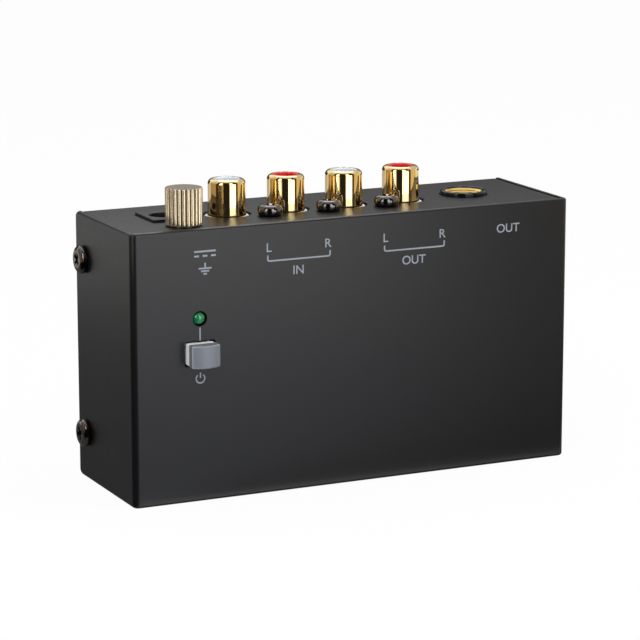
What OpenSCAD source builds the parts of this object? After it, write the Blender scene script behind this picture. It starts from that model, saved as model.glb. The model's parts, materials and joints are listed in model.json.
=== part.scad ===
// Small black preamplifier box, standing on its lower edge with the sockets up.
// Origin: middle of the standing face. +X right, +Y to the back, +Z up, label face toward -Y.
// A "depth" is a distance behind the label face, a "height" is a distance above the standing face.

/* [Case] */
// Width across the two side flanges
case_w = 106; // [102:1:130]
// Height from the standing face to the socket panel
case_h = 60; // [58:1:80]
// Depth from the label face to the back plate
case_d = 33; // [32:0.5:45]
// Thickness of the steel sheet
sheet = 1; // [0.8:0.1:1.2]
// Outer radius of the sheet bends
bend_r = 1.4; // [1.3:0.1:2.5]
// Gap between the cover and the chassis
seam = 0.3; // [0.2:0.05:0.5]
// Radius of the cover flanges' back corners
flange_corner_r = 2.2; // [1:0.1:4]
// Depth of the chassis ears behind the cover flanges
ear_d = 12; // [10.5:0.5:14]
// Height that the ears leave free at each end
ear_inset = 5; // [3:0.5:6]

/* [Case screws] */
// Distance of the case screws from the back plate's outer face
case_screw_back = 4.7; // [4.4:0.1:8]
// Height of the lower pair of case screws
case_screw_low = 10.6; // [9.5:0.1:16]
// Distance between the lower and the upper pair
case_screw_rise = 39.2; // [30:0.1:40]
// Radius of a case screw's head
case_screw_head_r = 3.15; // [2.6:0.05:3.3]
// Height of a case screw's head
case_screw_head_h = 1.7; // [1.4:0.1:3.2]
// Height of the widest ring of a case screw's head, as a share of the head
case_screw_rim = 0.4; // [0.2:0.05:0.75]
// Length of a case screw under its head
case_screw_len = 5; // [4:0.5:8]
// Radius of the case screw thread
case_screw_r = 1.5; // [1.2:0.1:1.7]

/* [Phono sockets] */
// Distance from one phono socket to the next
phono_pitch = 14.2; // [13.6:0.1:15]
// Middle of the phono row, from the middle of the case
phono_mid_x = -2.9; // [-4:0.1:-2]
// Height of the phono socket axes over the circuit board
phono_axis_h = 7.4; // [7:0.1:7.8]
// Outer radius of a phono shell
phono_shell_r = 4.15; // [4:0.05:4.3]
// Wall of a phono shell, which is also the radius of its rounded rim
phono_shell_wall = 1.1; // [0.7:0.05:1.2]
// Height of a phono shell above the panel
phono_shell_h = 7.65; // [6:0.05:9]
// Radius of a phono shell's flange
phono_flange_r = 4.9; // [4.6:0.05:5.2]
// Thickness of a phono shell's flange
phono_flange_t = 1.5; // [1.2:0.1:2]
// How far the flange's top lies under the panel's face
phono_flange_drop = 0.25; // [0.1:0.05:0.6]
// Gap between the flange and the hole in the panel
phono_hole_gap = 0.45; // [0.2:0.05:0.6]
// How far the coloured insert lies under the shell's rim
phono_insert_drop = 0.05; // [0:0.05:1]
// Radius of the insert's mouth
phono_mouth_r = 2.2; // [2.1:0.05:2.4]
// Depth of the insert's mouth, down to the centre contact
phono_mouth_d = 1.2; // [0.8:0.1:2]
// Inner radius of the centre contact
phono_contact_r = 1.6; // [1.5:0.05:1.7]
// Wall of the centre contact
phono_contact_wall = 0.25; // [0.2:0.05:0.4]
// Height of the moulded phono block
phono_block_h = 9; // [8:0.5:12]
// Moulding beyond the outer phono axes
phono_block_margin = 7; // [6:0.1:7.5]

/* [Phono block screws] */
// How far the screws that hold the phono block lie in front of the socket axes
phono_screw_front = 5.75; // [5.4:0.05:6.2]
// Sideways shift of these screws from the middle between two sockets
phono_screw_shift = 0.7; // [0:0.1:1]
// Radius of a phono screw's head
phono_screw_head_r = 2.8; // [2.2:0.05:3]
// Height of a phono screw's head
phono_screw_head_h = 2.2; // [1.4:0.1:2.4]
// Height of the widest ring of a phono screw's head, as a share of the head
phono_screw_rim = 0.45; // [0.2:0.05:0.7]
// Radius of a phono screw's thread
phono_screw_r = 1.3; // [1:0.05:1.5]
// Length of a phono screw under its head
phono_screw_len = 7; // [5:0.5:8]

/* [Jack socket] */
// Distance of the jack axis from the last phono socket
jack_from_phono = 16.4; // [15.8:0.1:18]
// Height of the jack axis over the circuit board
jack_axis_h = 6.8; // [6.7:0.1:7.5]
// Outer radius of the jack's nose
jack_nose_r = 5.3; // [5.2:0.1:6]
// Height of the nose above the panel
jack_nose_rise = 0.8; // [0.4:0.1:1.5]
// Radius of the plug bore in the ferrule
jack_bore_r = 3.2; // [3.18:0.01:3.3]
// Length of the ferrule's straight bore
jack_bore_len = 5; // [3:0.5:8]
// Height of the ferrule's funnel
jack_funnel_h = 1.6; // [1:0.1:3]
// Wall of the ferrule at its bore
jack_ferrule_wall = 1.25; // [1:0.05:1.6]
// Width of the jack's body
jack_body_w = 14; // [13:0.5:14.5]
// Body over the jack axis
jack_body_over = 6.6; // [6:0.1:7.5]
// Length of the jack's body under the panel
jack_body_len = 29; // [27:0.5:32]

/* [Power socket] */
// Distance of the power socket's axis from the first phono socket
power_from_phono = 14.2; // [14:0.1:15]
// Width of the power socket's body
power_body_w = 9; // [8.8:0.1:9.4]
// Height of the power socket's body over the circuit board
power_body_over = 11; // [10.5:0.1:11.5]
// Height of the power socket's axis over the circuit board
power_axis_h = 5.7; // [5.4:0.1:6]
// Length of the power socket's body
power_body_len = 14.2; // [12:0.1:15]
// Height of the body's face above the panel
power_face_rise = 0.4; // [0.2:0.1:1.5]
// Radius of the barrel hole
power_hole_r = 3.2; // [3:0.05:3.3]
// Depth of the barrel hole
power_hole_len = 10; // [8:0.1:10.5]
// Radius of the centre pin
power_pin_r = 1.05; // [0.9:0.05:1.25]
// How far the pin's end lies under the socket's face
power_pin_drop = 1.2; // [0.5:0.1:2]

/* [Ground terminal] */
// Sideways shift of the ground post from the power socket's axis
ground_shift_x = 0.2; // [-0.5:0.1:0.5]
// Shift of the ground post toward the label face, from the middle of its room
ground_shift_y = 0.1; // [-0.3:0.05:0.3]
// Radius of the ground post's thread
ground_stud_r = 2; // [1.8:0.05:2.2]
// Radius of the thumb nut over its ridges
thumb_nut_r = 4.05; // [3.8:0.05:4.5]
// Top of the thumb nut above the panel
thumb_nut_top = 8.1; // [7:0.1:10]
// Number of ridges round the thumb nut
thumb_nut_ridges = 24; // [16:1:36]
// Depth of the grooves between the ridges
thumb_nut_groove = 0.35; // [0.2:0.05:0.5]
// Thickness of the washer under the thumb nut
ground_washer_t = 0.3; // [0.2:0.1:0.8]
// Width across the flats of the lock nut
lock_nut_flats = 7; // [6:0.5:7.5]
// Thickness of the lock nut
lock_nut_t = 2.8; // [2:0.1:3.2]
// Thickness of the solder lug
lug_t = 0.5; // [0.3:0.1:0.8]
// Reach of the solder lug from the post
lug_reach = 7.2; // [7:0.1:7.6]
// Radius of the ground wire over its insulation
ground_wire_r = 0.7; // [0.5:0.05:0.8]

/* [Power button] */
// Sideways shift of the button and the lamp from the power socket's axis
button_shift = 1; // [0.5:0.1:1.5]
// Distance of the button's middle under the lamp's
button_drop = 7.6; // [6.8:0.1:9]
// Width of the button cap
button_w = 6.5; // [5.5:0.1:7.5]
// Height of the button cap
button_h = 4.95; // [4.5:0.05:5.5]
// How far the cap's edges stand out of the label face
button_out = 3.3; // [3.1:0.1:5]
// Rise of the curved face over its edges
button_crown = 1.1; // [0.3:0.1:1.5]
// Length of the grey cap along its edges
button_cap_len = 1.7; // [1.6:0.1:2.2]
// Gap between the button and its window
button_gap = 0.25; // [0.15:0.05:0.4]
// Travel of the button
button_travel = 2.5; // [1.5:0.1:3]

/* [Push switch] */
// Side of the square switch housing
switch_side = 8.5; // [8.2:0.1:8.8]
// Height of the switch housing over the circuit board
switch_over = 10; // [9:0.1:11]
// Wall of the switch housing around its cavity
switch_wall = 1.35; // [1.1:0.05:1.5]
// Thickness of the housing's top and floor
switch_floor = 1.2; // [1:0.1:1.5]
// Mean radius of the return spring
spring_r = 1.5; // [1.2:0.05:1.6]
// Radius of the spring wire
spring_wire_r = 0.18; // [0.12:0.01:0.22]
// Number of spring turns
spring_turns = 5; // [4:1:6]

/* [Power lamp] */
// Distance of the lamp's middle under the socket panel
lamp_drop = 19.5; // [18:0.1:21]
// Radius of the lamp's lens
lamp_r = 1.5; // [1.4:0.1:1.6]
// How far the lens stands out of the label face
lamp_out = 0.35; // [0:0.05:1]
// Length of the lens behind its dome
lamp_len = 3.3; // [2.6:0.1:4]
// Radius of the rim at the lens's foot
lamp_rim_r = 1.9; // [1.7:0.05:2.1]
// Gap between the lens and its hole
lamp_gap = 0.15; // [0.1:0.05:0.3]

/* [Circuit board] */
// Distance of the board's front face from the back plate's outer face
board_back = 10; // [9:0.1:10.5]
// Thickness of the circuit board
board_t = 1.6; // [1:0.1:2]
// Gap between the board and the case screws' tips
board_side_gap = 1.3; // [0.8:0.1:3]
// Gap over and under the board
board_end_gap = 2.2; // [1.5:0.1:3]
// Radius of the board screws' thread
board_screw_r = 1.45; // [1.2:0.05:1.5]
// Radius of a board screw's head
board_screw_head_r = 2.6; // [2.2:0.1:2.8]
// Height of a board screw's head
board_screw_head_h = 1.8; // [1.2:0.1:2.2]
// Height of the widest ring of a board screw's head, as a share of the head
board_screw_rim = 0.3; // [0.2:0.05:0.7]
// Length of a board screw under its head
board_screw_len = 6; // [5:0.5:6.5]
// Width across the flats of a standoff
standoff_flats = 5.5; // [5:0.5:6]
// Radius of the coupling capacitors
coupling_can_r = 3.15; // [2.5:0.05:3.5]
// Height of the coupling capacitors
coupling_can_h = 11; // [9:0.5:12]
// Radius of the supply capacitor
supply_can_r = 5; // [4:0.1:6]
// Height of the supply capacitor
supply_can_h = 12.5; // [10:0.5:14]

/* [Clearances] */
// Room round a thread in its hole, on the radius
thread_play = 0.05; // [0.02:0.01:0.1]
// Room round a piece that is pushed into another
push_play = 0.05; // [0.02:0.01:0.1]
// Room round a screw in a plain hole, on the radius
screw_gap = 0.15; // [0.1:0.05:0.3]
// Room round a socket body in its cut-out
cutout_gap = 0.2; // [0.1:0.05:0.3]
// Room between pieces that move past each other
slide_gap = 0.1; // [0.05:0.01:0.2]

/* [Hidden] */
$fn = 64;

// Overlap of a cutting tool past the face that it cuts
cut = 0.5;

// Faces of the case
front_y = -case_d / 2;
back_y = case_d / 2;
panel_under = case_h - sheet;
chassis_w = case_w - 2 * (sheet + seam);
case_screw_y = back_y - case_screw_back;
case_screw_heights = [case_screw_low, case_screw_low + case_screw_rise];

// Faces of the circuit board
board_face_y = back_y - board_back;
board_rear_y = board_face_y + board_t;
board_w = case_w - 2 * (case_screw_len + board_side_gap);
board_low = sheet + board_end_gap;
board_high = panel_under - board_end_gap;
// How far soldered tails reach past the board, and the radius of the holes that take them
tail_past = 1.4;
tail_hole_r = 0.85;
tail_w = 1;
tail_t = 0.6;

// Phono row
phono_count = 4;
phono_y = board_face_y - phono_axis_h;
phono_xs = [for (i = [0 : phono_count - 1]) phono_mid_x + (i - (phono_count - 1) / 2) * phono_pitch];
phono_screw_xs = [for (i = [0 : phono_count - 2])
    (phono_xs[i] + phono_xs[i + 1]) / 2 + phono_screw_shift];
phono_screw_y = phono_y - phono_screw_front;
phono_bore_r = phono_shell_r - phono_shell_wall;
phono_block_low = panel_under - phono_block_h;
phono_block_front = phono_screw_y - phono_screw_head_r - push_play;
phono_block_w = (phono_count - 1) * phono_pitch + 2 * phono_block_margin;
phono_flange_top = case_h - phono_flange_drop;
phono_rim_z = case_h + phono_shell_h;
phono_insert_top = phono_rim_z - phono_insert_drop;
phono_contact_out_r = phono_contact_r + phono_contact_wall;
// The contact's socket ends over the block's foot
phono_contact_floor = 2;
phono_tail_low = phono_block_low - tail_t - slide_gap;
// The strap that joins the shells lies under their feet, with a leg at each end
strap_t = 0.5;
strap_w = 2.2;
strap_leg_xs = [phono_xs[0] - phono_shell_r - tail_w, phono_xs[phono_count - 1] + phono_shell_r + tail_w];

// Jack
jack_x = phono_xs[phono_count - 1] + jack_from_phono;
jack_y = board_face_y - jack_axis_h;
jack_top = case_h + jack_nose_rise;
jack_low = panel_under - jack_body_len;
jack_ferrule_r = jack_bore_r + jack_ferrule_wall;
jack_ferrule_drop = 0.1;
jack_ferrule_low = jack_top - jack_ferrule_drop - jack_funnel_h - jack_bore_len;
// The body's bore behind the ferrule is wider, so that only the ferrule guides a plug
jack_inner_r = jack_bore_r + 0.4;
jack_spring_t = 0.4;
jack_spring_w = 3;
jack_spring_len = 12;
jack_slot_play = 0.3;
jack_tip_low = jack_low + 2;
jack_ring_low = jack_low + 7;
jack_tail_z = jack_ferrule_low + 1;

// Power socket
power_x = phono_xs[0] - power_from_phono;
power_y = board_face_y - power_axis_h;
power_front_y = board_face_y - power_body_over;
power_top = case_h + power_face_rise;
power_low = power_top - power_body_len;
power_hole_low = power_top - power_hole_len;
power_tail_low = power_low - tail_t - slide_gap;
power_spring_t = 0.4;
power_spring_w = 3;
power_tail_x = 1.5;
// The pin's root in the body is thicker than its free end
power_root_r = power_pin_r + 0.35;

// Ground terminal, between the label face's sheet and the power socket
ground_x = power_x + ground_shift_x;
ground_y = (front_y + sheet + power_front_y) / 2 - ground_shift_y;
ground_collar_r = ground_stud_r + 1.4;
ground_collar_t = 1.2;
ground_stud_top = case_h + thumb_nut_top - 2.1;
lug_top = panel_under - ground_collar_t;
lug_low = lug_top - lug_t;
lug_ring_r = ground_stud_r + 1.6;
lug_tab_w = 2.4;
lock_nut_low = lug_low - lock_nut_t;
ground_stud_low = lock_nut_low - 2;
ground_washer_r = thumb_nut_r - 0.5;
thumb_nut_low = ground_washer_t + 2 * slide_gap;
thumb_nut_roof = 0.9;
// The wire drops from the lug's tab, bends under the power socket and ends at the board's edge
lug_tip_margin = 0.5;
wire_x = ground_x - lug_reach + ground_wire_r + lug_tip_margin;
wire_foot_x = -board_w / 2 + 2 * ground_wire_r;
wire_gap = 1;
wire_end_z = power_tail_low - ground_wire_r - wire_gap;
wire_bend = 4;

// Button and switch
button_x = power_x + button_shift;
lamp_height = case_h - lamp_drop;
button_height = lamp_height - button_drop;
button_base_y = front_y - button_out + button_cap_len;
button_crown_r = (pow(button_w / 2, 2) + pow(button_crown, 2)) / (2 * button_crown);
plunger_inset = 0.1;
plunger_head_in = 1.5;
plunger_stem_w = 4;
plunger_stem_h = 3;
plunger_foot_t = 1;
plunger_foot_w = switch_side - 2 * switch_wall - 4 * slide_gap;
plunger_foot_h = plunger_foot_w - 1;
peg_w = 3;
peg_h = 2;
peg_len = 0.8;
switch_top_y = board_face_y - switch_over;
switch_roof_y = switch_top_y + switch_floor;
switch_floor_y = board_face_y - switch_floor;
switch_cavity = switch_side - 2 * switch_wall;
plunger_foot_y = switch_roof_y + slide_gap;
plunger_end_y = plunger_foot_y + plunger_foot_t;
bridge_t = 0.25;
bridge_hole_r = spring_r + spring_wire_r + 0.3;
switch_pin_w = 0.8;
switch_pin_t = 0.3;
switch_pin_pitch = 2.2;
switch_pin_x = switch_cavity / 2 + switch_pin_t / 2 + slide_gap;
switch_pin_top_y = plunger_end_y + button_travel;

// Lamp
lamp_dome_y = front_y - lamp_out + lamp_r;
lamp_foot_y = lamp_dome_y + lamp_len;
lamp_rim_t = 1;
lamp_spacer_y = lamp_foot_y + lamp_rim_t;
lamp_spacer_r = lamp_rim_r + 0.4;
lamp_lead_r = 0.25;
lamp_lead_x = 1.27;

// Places on the circuit board, as [x, height]
board_edge = 3.5;
board_foot = 4.5;
standoff_shift = 3;
standoff_drop = 10;
standoff_places = [
    [-board_w / 2 + board_edge, board_low + board_foot],
    [board_w / 2 - board_edge, board_low + board_foot],
    [phono_xs[0] - standoff_shift, lamp_height - standoff_drop],
    [phono_xs[phono_count - 1] + standoff_shift, phono_block_low - standoff_drop]
];
standoff_len = back_y - sheet - board_rear_y;
// Rows of parts lie at shares of the board's height under the phono block
part_room = phono_block_low - board_low;
resistor_share = 0.13;
film_share = 0.31;
chip_share = 0.51;
can_share = 0.75;
resistor_pitch = 4.5;
film_pitch = 9;
chip_pitch = 20;
can_pitch = 10;
can_places = [for (i = [-1.5 : 1 : 1.5])
    [phono_mid_x + i * can_pitch, board_low + can_share * part_room]];
chip_places = [for (i = [-0.5, 0.5])
    [phono_mid_x + i * chip_pitch, board_low + chip_share * part_room]];
film_places = [for (i = [-2 : 1 : 2])
    [phono_mid_x + i * film_pitch, board_low + film_share * part_room]];
resistor_places = [for (i = [-4 : 1 : 4])
    [phono_mid_x + i * resistor_pitch, board_low + resistor_share * part_room]];
// The supply parts lie under the jack's body, and the diode under the phono block's end
supply_can_shift = 8;
supply_can_gap = 5.8;
supply_can_place = [jack_x - supply_can_shift, jack_low - supply_can_r - supply_can_gap];
regulator_shift = 2;
regulator_drop = 16.8;
regulator_place = [jack_x + regulator_shift, jack_low - regulator_drop];
diode_gap = 4.5;
diode_drop = 9;
diode_place = [power_x + power_body_w / 2 + diode_gap, phono_block_low - diode_drop];

// Holes for soldered tails, as [x, height]
switch_pin_places = [for (sx = [-1, 1], k = [-1, 0, 1])
    [button_x + sx * switch_pin_x, button_height + k * switch_pin_pitch]];
lamp_lead_places = [for (sx = [-1, 1]) [button_x + sx * lamp_lead_x, lamp_height]];
jack_tail_places = [
    [jack_x + jack_inner_r + jack_slot_play + jack_spring_t / 2, jack_tip_low + tail_w / 2],
    [jack_x - jack_inner_r - jack_slot_play - jack_spring_t / 2, jack_ring_low + tail_w / 2],
    [jack_x, jack_tail_z + tail_t / 2]
];
tail_places = concat(
    [for (x = phono_xs) [x, phono_tail_low + tail_t / 2]],
    [for (x = strap_leg_xs) [x, phono_block_low - strap_t / 2]],
    jack_tail_places,
    [for (s = [-1, 1]) [power_x + s * power_tail_x, power_tail_low + tail_t / 2]],
    switch_pin_places,
    lamp_lead_places
);

function arc(x, y, r, from, to, steps) =
    [for (k = [0 : steps]) let (a = from + (to - from) * k / steps) [x + r * cos(a), y + r * sin(a)]];

// A rectangle in plan with its two far corners rounded
module far_rounded(w, d, r) {
    translate([-w / 2, 0]) square([w, d - r]);
    translate([-w / 2 + r, 0]) square([w - 2 * r, d]);
    for (s = [-1, 1]) translate([s * (w / 2 - r), d - r]) circle(r);
}

// Turns what is drawn as [depth, height] so that it runs along X
module along_x(length) {
    translate([-length / 2, 0, 0]) rotate([90, 0, 90]) linear_extrude(length) children();
}

// Puts what is drawn along +Z so that it points to the back
module to_back() {
    rotate([-90, 0, 0]) children();
}

// A box given by its middle in X, its faces in Y and its middle in Z
module slab(x, y0, y1, z, w, h) {
    translate([x - w / 2, y0, z - h / 2]) cube([w, y1 - y0, h]);
}

// A pan-head screw: the head's seat lies at zero, the head up and the thread down
// rim_share is the height of the head's widest ring as a share of the head's height
module pan_screw(head_r, head_h, thread_r, length, rim_share) {
    rim_h = head_h * rim_share;
    foot_w = head_r * 0.2;
    crown_r = head_h - rim_h;
    recess_w = head_r * 0.26;
    recess_len = head_r * 1.1;
    recess_depth = head_h * 0.6;
    difference() {
        rotate_extrude() polygon(concat(
            [[0, 0]],
            [for (a = [0 : 22.5 : 90]) [head_r - foot_w + foot_w * sin(a), rim_h * (1 - cos(a))]],
            arc(head_r - crown_r, rim_h, crown_r, 0, 90, 8),
            [[0, head_h]]
        ));
        for (a = [0, 90]) rotate([0, 0, a])
            translate([-recess_len / 2, -recess_w / 2, head_h - recess_depth])
                cube([recess_len, recess_w, recess_depth + cut]);
    }
    translate([0, 0, -length]) cylinder(r = thread_r, h = length);
}

// A tube of round section swept through points, closed at both ends
module swept_tube(points, r, sides) {
    last = len(points) - 1;
    rings = [for (i = [0 : last])
        let (
            ahead = points[min(i + 1, last)] - points[max(i - 1, 0)],
            t = ahead / norm(ahead),
            up = abs(t.x) < 0.9 ? [1, 0, 0] : [0, 0, 1],
            side = cross(t, up) / norm(cross(t, up)),
            top = cross(side, t)
        )
        [for (k = [0 : sides - 1])
            let (a = 360 * k / sides) points[i] + r * (cos(a) * side + sin(a) * top)]
    ];
    verts = [for (ring = rings) each ring];
    walls = [for (i = [0 : last - 1], k = [0 : sides - 1])
        let (
            a = i * sides + k,
            b = i * sides + (k + 1) % sides
        )
        each [[a, b, b + sides], [a, b + sides, a + sides]]
    ];
    start = [for (k = [1 : sides - 2]) [0, k + 1, k]];
    end = [for (k = [1 : sides - 2]) [last * sides, last * sides + k, last * sides + k + 1]];
    polyhedron(verts, concat(walls, start, end));
}

module cover() {
    color("#37383b") difference() {
        intersection() {
            linear_extrude(case_h) mirror([0, 1]) translate([0, -back_y]) difference() {
                far_rounded(case_w, case_d, bend_r);
                translate([0, -sheet]) far_rounded(case_w - 2 * sheet, case_d, bend_r - sheet);
            }
            along_x(case_w + 2 * cut) translate([front_y, case_h / 2]) rotate(-90)
                far_rounded(case_h, case_d, flange_corner_r);
        }
        slab(button_x, front_y - cut, front_y + sheet + cut, button_height,
            button_w + 2 * button_gap, button_h + 2 * button_gap);
        translate([button_x, front_y - cut, lamp_height]) to_back()
            cylinder(r = lamp_r + lamp_gap, h = sheet + 2 * cut);
        for (z = case_screw_heights) translate([-case_w / 2 - cut, case_screw_y, z])
            rotate([0, 90, 0]) cylinder(r = case_screw_r + screw_gap, h = case_w + 2 * cut);
    }
}

module chassis() {
    inner_front = front_y + sheet + seam;
    run = back_y - inner_front;
    color("#3c3d40") difference() {
        union() {
            along_x(chassis_w) translate([inner_front, case_h / 2]) rotate(-90) difference() {
                far_rounded(case_h, run, bend_r);
                translate([0, -sheet]) far_rounded(case_h - 2 * sheet, run, bend_r - sheet);
            }
            for (s = [-1, 1])
                slab(s * (chassis_w - sheet) / 2, back_y - ear_d, back_y - sheet / 2, case_h / 2,
                    sheet, case_h - 2 * ear_inset);
        }
        for (x = phono_xs) translate([x, phono_y, panel_under - cut])
            cylinder(r = phono_flange_r + phono_hole_gap, h = sheet + 2 * cut);
        for (x = phono_screw_xs) translate([x, phono_screw_y, panel_under - cut])
            cylinder(r = phono_screw_r + screw_gap, h = sheet + 2 * cut);
        translate([jack_x, jack_y, panel_under - cut])
            cylinder(r = jack_nose_r + cutout_gap, h = sheet + 2 * cut);
        translate([
            power_x - power_body_w / 2 - cutout_gap,
            power_front_y - cutout_gap,
            panel_under - cut
        ]) cube([power_body_w + 2 * cutout_gap, power_body_over + 2 * cutout_gap, sheet + 2 * cut]);
        translate([ground_x, ground_y, panel_under - cut])
            cylinder(r = ground_stud_r + thread_play, h = sheet + 2 * cut);
        for (z = case_screw_heights) translate([-chassis_w / 2 - cut, case_screw_y, z])
            rotate([0, 90, 0]) cylinder(r = case_screw_r + thread_play, h = chassis_w + 2 * cut);
    }
}

module case_screws() {
    color("#55575c") for (s = [-1, 1], z = case_screw_heights)
        translate([s * case_w / 2, case_screw_y, z]) rotate([0, s * 90, 0])
            pan_screw(case_screw_head_r, case_screw_head_h, case_screw_r, case_screw_len, case_screw_rim);
}

module phono_block() {
    color("#1c1d1f") difference() {
        translate([phono_mid_x - phono_block_w / 2, phono_block_front, phono_block_low])
            cube([phono_block_w, board_face_y - phono_block_front, phono_block_h]);
        for (x = phono_xs) translate([x, phono_y, 0]) {
            translate([0, 0, phono_block_low - cut])
                cylinder(r = phono_shell_r + push_play, h = phono_block_h + 2 * cut);
            translate([0, 0, phono_flange_top - phono_flange_t])
                cylinder(r = phono_flange_r + push_play, h = phono_flange_t + cut);
        }
        for (x = phono_screw_xs) translate([x, phono_screw_y, panel_under - phono_screw_len])
            cylinder(r = phono_screw_r + thread_play, h = phono_screw_len + cut);
    }
}

module phono_shell(i) {
    rim_r = phono_shell_wall;
    flange_low = phono_flange_top - phono_flange_t;
    color("#d9b25f") translate([phono_xs[i], phono_y, 0]) rotate_extrude() polygon(concat(
        [
            [phono_bore_r, phono_block_low],
            [phono_shell_r, phono_block_low],
            [phono_shell_r, flange_low],
            [phono_flange_r, flange_low],
            [phono_flange_r, phono_flange_top],
            [phono_shell_r, phono_flange_top]
        ],
        arc(phono_bore_r, phono_rim_z - rim_r, rim_r, 0, 90, 8)
    ));
}

module phono_insert(i, tint) {
    outer_r = phono_bore_r - push_play;
    hole_r = phono_contact_out_r + push_play;
    mouth_low = phono_insert_top - phono_mouth_d;
    color(tint) translate([phono_xs[i], phono_y, 0]) rotate_extrude() polygon([
        [hole_r, phono_block_low],
        [outer_r, phono_block_low],
        [outer_r, phono_insert_top],
        [phono_mouth_r, phono_insert_top],
        [phono_mouth_r, mouth_low],
        [hole_r, mouth_low]
    ]);
}

module phono_shell_in_left() { phono_shell(0); }
module phono_shell_in_right() { phono_shell(1); }
module phono_shell_out_left() { phono_shell(2); }
module phono_shell_out_right() { phono_shell(3); }
module phono_insert_in_left() { phono_insert(0, "#e9eef2"); }
module phono_insert_in_right() { phono_insert(1, "#c8202c"); }
module phono_insert_out_left() { phono_insert(2, "#e9eef2"); }
module phono_insert_out_right() { phono_insert(3, "#c8202c"); }

module phono_contacts() {
    socket_top = phono_insert_top - phono_mouth_d;
    color("#c9a458") for (x = phono_xs) translate([x, phono_y, 0]) {
        difference() {
            translate([0, 0, phono_tail_low])
                cylinder(r = phono_contact_out_r, h = socket_top - phono_tail_low);
            translate([0, 0, phono_block_low + phono_contact_floor])
                cylinder(r = phono_contact_r, h = socket_top - phono_block_low);
        }
        translate([-tail_w / 2, 0, phono_tail_low])
            cube([tail_w, board_rear_y + tail_past - phono_y, tail_t]);
    }
}

module phono_ground_strap() {
    strap_front = phono_y - phono_shell_r - push_play;
    strap_low = phono_block_low - strap_t;
    color("#b98e4a") {
        translate([strap_leg_xs[0], strap_front, strap_low])
            cube([strap_leg_xs[1] - strap_leg_xs[0], strap_w, strap_t]);
        for (x = strap_leg_xs) translate([x - tail_w / 2, strap_front, strap_low])
            cube([tail_w, board_rear_y + tail_past - strap_front, strap_t]);
    }
}

module phono_screws() {
    color("#141416") for (x = phono_screw_xs) translate([x, phono_screw_y, case_h])
        pan_screw(phono_screw_head_r, phono_screw_head_h, phono_screw_r, phono_screw_len, phono_screw_rim);
}

module jack_body() {
    slot_in = jack_inner_r - jack_slot_play;
    slot_w = jack_spring_t + 3 * jack_slot_play;
    color("#18191b") difference() {
        union() {
            translate([jack_x - jack_body_w / 2, jack_y - jack_body_over, jack_low])
                cube([jack_body_w, jack_body_over + jack_axis_h, jack_body_len]);
            translate([jack_x, jack_y, panel_under])
                cylinder(r = jack_nose_r, h = jack_top - panel_under);
        }
        translate([jack_x, jack_y, jack_low - cut])
            cylinder(r = jack_inner_r, h = jack_body_len + jack_top);
        translate([jack_x, jack_y, jack_ferrule_low])
            cylinder(r = jack_ferrule_r + push_play, h = jack_top);
        for (p = [[1, jack_tip_low], [-1, jack_ring_low]])
            translate([
                jack_x + p[0] * (slot_in + slot_w / 2) - slot_w / 2,
                jack_y - jack_spring_w / 2 - jack_slot_play,
                p[1] - jack_slot_play
            ])
                cube([
                    slot_w,
                    jack_axis_h + jack_spring_w / 2 + jack_slot_play + cut,
                    jack_spring_len + 2 * jack_slot_play
                ]);
        translate([jack_x - tail_w / 2 - jack_slot_play, jack_y, jack_tail_z - jack_slot_play])
            cube([tail_w + 2 * jack_slot_play, jack_axis_h + cut, tail_t + 2 * jack_slot_play]);
    }
}

module jack_ferrule() {
    ferrule_top = jack_top - jack_ferrule_drop;
    mouth_r = jack_ferrule_r - 0.2;
    color("#d9b25f") translate([jack_x, jack_y, 0]) rotate_extrude() polygon([
        [jack_bore_r, jack_ferrule_low],
        [jack_ferrule_r, jack_ferrule_low],
        [jack_ferrule_r, ferrule_top],
        [mouth_r, ferrule_top],
        [jack_bore_r, ferrule_top - jack_funnel_h]
    ]);
}

// A leaf along the plug's path with a tail to the board, on the side that the sign gives
module jack_leaf(side, low) {
    leaf_x = jack_x + side * (jack_inner_r + jack_slot_play + jack_spring_t / 2);
    translate([leaf_x - jack_spring_t / 2, jack_y - jack_spring_w / 2, low])
        cube([jack_spring_t, jack_spring_w, jack_spring_len]);
    translate([leaf_x - jack_spring_t / 2, jack_y, low])
        cube([jack_spring_t, board_rear_y + tail_past - jack_y, tail_w]);
}

module jack_tip_spring() {
    color("#c0c2c4") jack_leaf(1, jack_tip_low);
}

module jack_ring_spring() {
    color("#c0c2c4") jack_leaf(-1, jack_ring_low);
}

module jack_sleeve_tail() {
    tail_y = jack_y + jack_ferrule_r + push_play;
    color("#c0c2c4") translate([jack_x - tail_w / 2, tail_y, jack_tail_z])
        cube([tail_w, board_rear_y + tail_past - tail_y, tail_t]);
}

module power_body() {
    color("#202124") difference() {
        translate([power_x - power_body_w / 2, power_front_y, power_low])
            cube([power_body_w, power_body_over, power_body_len]);
        translate([power_x, power_y, power_hole_low])
            cylinder(r = power_hole_r, h = power_hole_len + cut);
        translate([power_x, power_y, power_low - cut])
            cylinder(r = power_root_r + push_play, h = power_hole_low - power_low + 2 * cut);
        translate([
            power_x - power_spring_w / 2 - slide_gap,
            power_y + power_hole_r - power_spring_t,
            power_low - cut
        ])
            cube([
                power_spring_w + 2 * slide_gap,
                2 * power_spring_t + 2 * slide_gap,
                power_hole_len + power_low - power_tail_low
            ]);
    }
}

module power_pin() {
    color("#c8cacc") {
        translate([power_x, power_y, power_hole_low])
            cylinder(r = power_pin_r, h = power_top - power_pin_drop - power_hole_low);
        translate([power_x, power_y, power_tail_low])
            cylinder(r = power_root_r, h = power_hole_low - power_tail_low);
        translate([power_x - power_tail_x - tail_w / 2, power_y - power_pin_r, power_tail_low])
            cube([power_tail_x + tail_w / 2, 2 * power_pin_r, tail_t]);
        translate([power_x - power_tail_x - tail_w / 2, power_y, power_tail_low])
            cube([tail_w, board_rear_y + tail_past - power_y, tail_t]);
    }
}

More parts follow.
